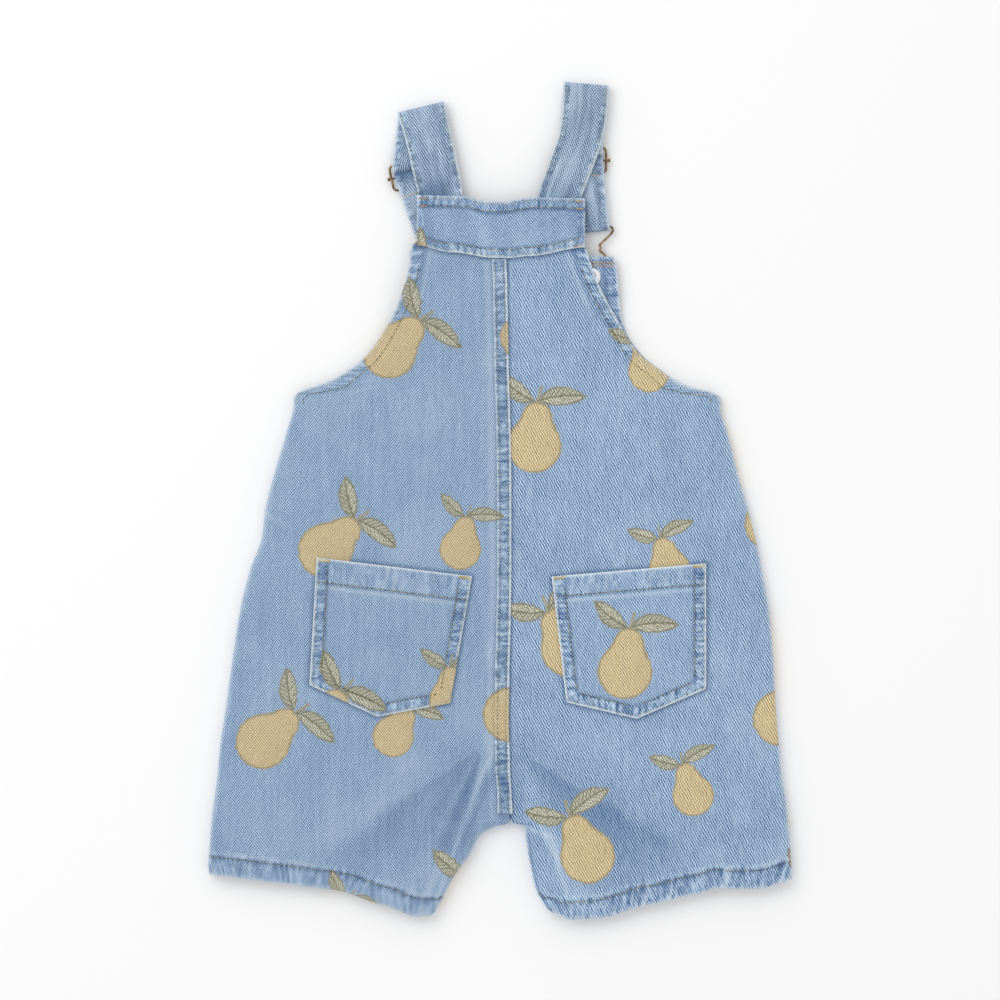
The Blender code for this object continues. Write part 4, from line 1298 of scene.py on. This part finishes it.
def evenSteps(path, step):
    # places and headings at even steps along a plan path
    path = np.array(path, float)
    length = pathLengths(path)
    count = max(2, int(length[-1] / step))
    at = (np.arange(count) + 0.5) * length[-1] / count
    place, ahead, behind = (
        np.stack([np.interp(at + reach, length, column) for column in path.T], axis=1)
        for reach in (0, 0.4, -0.4)
    )
    way = (ahead - behind) / np.linalg.norm(ahead - behind, axis=1, keepdims=True)
    return place, way


def sewRows(name, paths, tree, thread, up=True, cross=False, above=50.0, **changes):
    look = {**stitchLook, **changes}
    feel, steepest = look["feel"], look["steepest"]
    template, faces = beadTemplate()
    along, across, high = (template * (look["long"], look["wide"], look["thick"])).T
    allPlaces, allFaces = [], []
    for path in paths:
        place, way = evenSteps(path, look["step"])
        side = np.stack([-way[:, 1], way[:, 0]], axis=1)
        if cross:
            way, side = side, way
        middle = surfaceHeight(tree, place[:, 0], place[:, 1], up, above=above)
        for (px, py), (wx, wy), (qx, qy), z in zip(place, way, side, middle):
            if z < -50:
                continue
            reached = np.array([-feel, feel])
            ends = surfaceHeight(tree, px + wx * reached, py + wy * reached, up, z, above)
            slope = np.clip((ends[1] - ends[0]) / (2 * feel), -steepest, steepest)
            lift = look["lift"] if up else -look["lift"]
            x, y = px + along * wx + across * qx, py + along * wy + across * qy
            allFaces.append(faces + len(allPlaces) * len(template))
            allPlaces.append(np.stack([x, y, z + lift + high + along * slope], axis=1))
    data = bpy.data.meshes.new(name)
    data.from_pydata((np.vstack(allPlaces) * mm).tolist(), [], np.vstack(allFaces).tolist())
    data.shade_smooth()
    data.materials.append(threads[thread])
    addPiece(name, data, "denim")


def edgePath(g, key, away, low=0.0, high=1.0):
    # a path at a distance in from a panel's edge: row by row, or column by column from the hem or the top
    far, xs, ys = g[key], g["x"], g["y"]
    first, last = int(low * (len(far) - 1)), int(high * (len(far) - 1)) + 1
    if key.startswith("from"):
        far, xs, ys = far.T, xs.T, ys.T
        first, last = 2, len(far) - 2
    path = []
    for distances, x, y in zip(far[first:last], xs[first:last], ys[first:last]):
        order = np.argsort(distances)
        path.append([np.interp(away, distances[order], values[order]) for values in (x, y)])
    return path


def inset(corners, first, last, away):
    # the line between two corners of a pocket, moved in by a distance
    a, b = np.array(corners[first], float), np.array(corners[last], float)
    middle = np.mean(np.array(corners, float), axis=0)
    run = (b - a) / np.linalg.norm(b - a)
    normal = np.array([-run[1], run[0]])
    if np.dot(middle - a, normal) < 0:
        normal = -normal
    return [tuple(a + normal * away + run * away), tuple(b + normal * away - run * away)]


def pocketPaths(side):
    corners = pockets[side]["corners"]
    paths = []
    for away in (1.4, 7.6):
        paths += [inset(corners, k, k + 1 if k < 4 else 0, away) for k in range(1, 5)]
    top = inset(corners, 0, 1, pockets[side]["hem"])
    run = np.array(top[1]) - np.array(top[0])
    run /= np.linalg.norm(run)
    pull = pockets[side]["hem"] - 2
    return paths, [tuple(np.array(top[0]) - run * pull), tuple(np.array(top[1]) + run * pull)]


topTree = surfaceTree(*[cloth[name] for name in cloth if not name.startswith("front")])
frontTree = surfaceTree(cloth["front_left"], cloth["front_right"])
hemRow = layerLook["hemBand"] - 1.2
palePaths, goldPaths, olivePaths, frontPaths, strapEnds = [], [], [], [], []
for side in ("left", "right"):
    back, front = grids["back_" + side], grids["front_" + side]
    goldPaths += [edgePath(back, "outerFar", 6.6, 0.04, 0.28), edgePath(back, "fromHem", hemRow)]
    palePaths += [edgePath(back, "outerFar", 1.8, 0.04, 0.28)]
    frontPaths += [edgePath(front, "fromHem", hemRow), edgePath(front, "outerFar", 6.6, 0.0, 0.26)]
    frontPaths += [edgePath(front, "fromTop", 6.2)]
    edges, hem = pocketPaths(side)
    palePaths += edges[:4]
    goldPaths += edges[4:] + [hem]

acrossYoke = np.linspace(0.03, 0.97, 40)
yokeX = yokeLook["left"] + (yokeLook["right"] - yokeLook["left"]) * acrossYoke
for key, way, places in (("top", -1, (1.5, 6.6)), ("foot", 1, (1.4, 5.6))):
    level = easedTable(yokeLook[key], acrossYoke)
    for paths, away in zip((palePaths, goldPaths), places):
        paths.append(list(zip(yokeX, level + way * away)))
seamY = np.linspace(seamLook["top"] - 3, seamLook["end"] + 2, 90)
seamX = easedTable([(py, px) for px, py in backSeam], seamY) + seamLook["lap"]
olivePaths += [list(zip(seamX - away, seamY)) for away in (1.9, 7.6)]
frontPaths += [edgePath(grids["front_left"], "innerFar", away, 0.03, 0.75) for away in (1.9, 7.6)]
for side, endRow in (("left", 13.0), ("right", 10.4)):
    rows, overCount = strapRows(side)
    x, y, _, width, tilt = rows[14:overCount + 4].T
    olivePaths += [list(zip(*placed(x, y, tilt, reach * (width / 2 - 1.6), 0))) for reach in (-1, 1)]
    strapEnds.append([placed(*straps[side]["slider"], reach, -endRow) for reach in (-13.5, 13.5)])
bibPaths = [
    edgePath(grids["front_left"], "fromTop", away) + edgePath(grids["front_right"], "fromTop", away)[::-1]
    for away in (6.2, 4.2)
]
sewRows("stitches_gold", goldPaths, topTree, "mustard")
sewRows("stitches_pale", palePaths, topTree, "faded")
sewRows("stitches_olive", olivePaths, topTree, "olive", wide=0.6)
sewRows("stitches_front", frontPaths, frontTree, "mustard", up=False)
sewRows("stitches_bib", bibPaths, frontTree, "orange", wide=1.0, step=2.45)

# Bar tacks: short dense rows across the ends of seams
pocketTacks = [
    [(-121.2, -39.9), (-112.8, -40.9)], [(-27.8, -51.2), (-19.8, -52.1)], [(35.6, -52.3), (43.8, -51.5)],
    [(128.4, -44.4), (136.4, -43.8)],
]
yokeTacks = [
    [(-54.2, 201.0), (-48.6, 200.8)], [(-54.0, 196.0), (-49.0, 195.8)], [(50.2, 199.0), (55.6, 198.7)],
    [(50.6, 194.2), (55.6, 193.9)], [(49.6, 168.4), (55.4, 169.4)], [(-54.2, 171.2), (-49.4, 169.9)],
]
sewRows("tacks_pocket", pocketTacks, topTree, "straw", long=2.3, wide=0.45, step=0.5, cross=True)
sewRows("tacks_yoke", yokeTacks, topTree, "orange", long=1.2, wide=0.45, step=0.5, cross=True)
strapTree = surfaceTree(cloth["strap_left"], cloth["strap_right"])
sewRows("stitches_strap_end", strapEnds, strapTree, "orange", above=6.1)
print("sewing made")


# Floor, light and camera

stageLook = {
    "span": 666.7,
    "away": 3000.0,
    "level": 8.0,
    "sensor": 36.0,
    "clip": 20.0,
    "sun": {"place": (-1.4, 1.2, 2.1), "size": 2.0, "power": 22.0},
    "world": 0.84,
    "floor": colour(250, 250, 250),
    "floorLevel": -0.6,  # just under the lowest stitches, so that the two never share a plane
}


def makeStage():
    mesh = bmesh.new()
    level = Matrix.Translation((0, 0, stageLook["floorLevel"] * mm))
    bmesh.ops.create_grid(mesh, x_segments=1, y_segments=1, size=4.0, matrix=level)
    data = toData("floor", mesh)
    material, _, shader = newMaterial("pale floor")
    shader["Base Color"].default_value = stageLook["floor"]
    shader["Roughness"].default_value = 0.9
    shader["Specular IOR Level"].default_value = 0.1
    data.materials.append(material)
    addObject("floor", data)

    world = bpy.data.worlds.new("studio")
    world.use_nodes = True
    sky = world.node_tree.nodes["Background"].inputs
    sky["Color"].default_value = (1, 1, 1, 1)
    sky["Strength"].default_value = stageLook["world"]
    bpy.context.scene.world = world

    sun = stageLook["sun"]
    lamp = bpy.data.lights.new("soft light", "AREA")
    lamp.energy = sun["power"]
    lamp.size = sun["size"]
    holder = addObject("soft light", lamp)
    holder.location = sun["place"]
    holder.rotation_euler = (-Vector(sun["place"])).to_track_quat("-Z", "Y").to_euler()

    camera = bpy.data.cameras.new("camera")
    camera.sensor_width = stageLook["sensor"]
    camera.lens = stageLook["sensor"] * stageLook["away"] / stageLook["span"]
    camera.clip_end = stageLook["clip"]
    eye = addObject("camera", camera)
    eye.location = (0, 0, (stageLook["away"] + stageLook["level"]) * mm)
    bpy.context.scene.camera = eye
    bpy.context.scene.view_settings.view_transform = "Standard"


makeStage()
print("stage made")
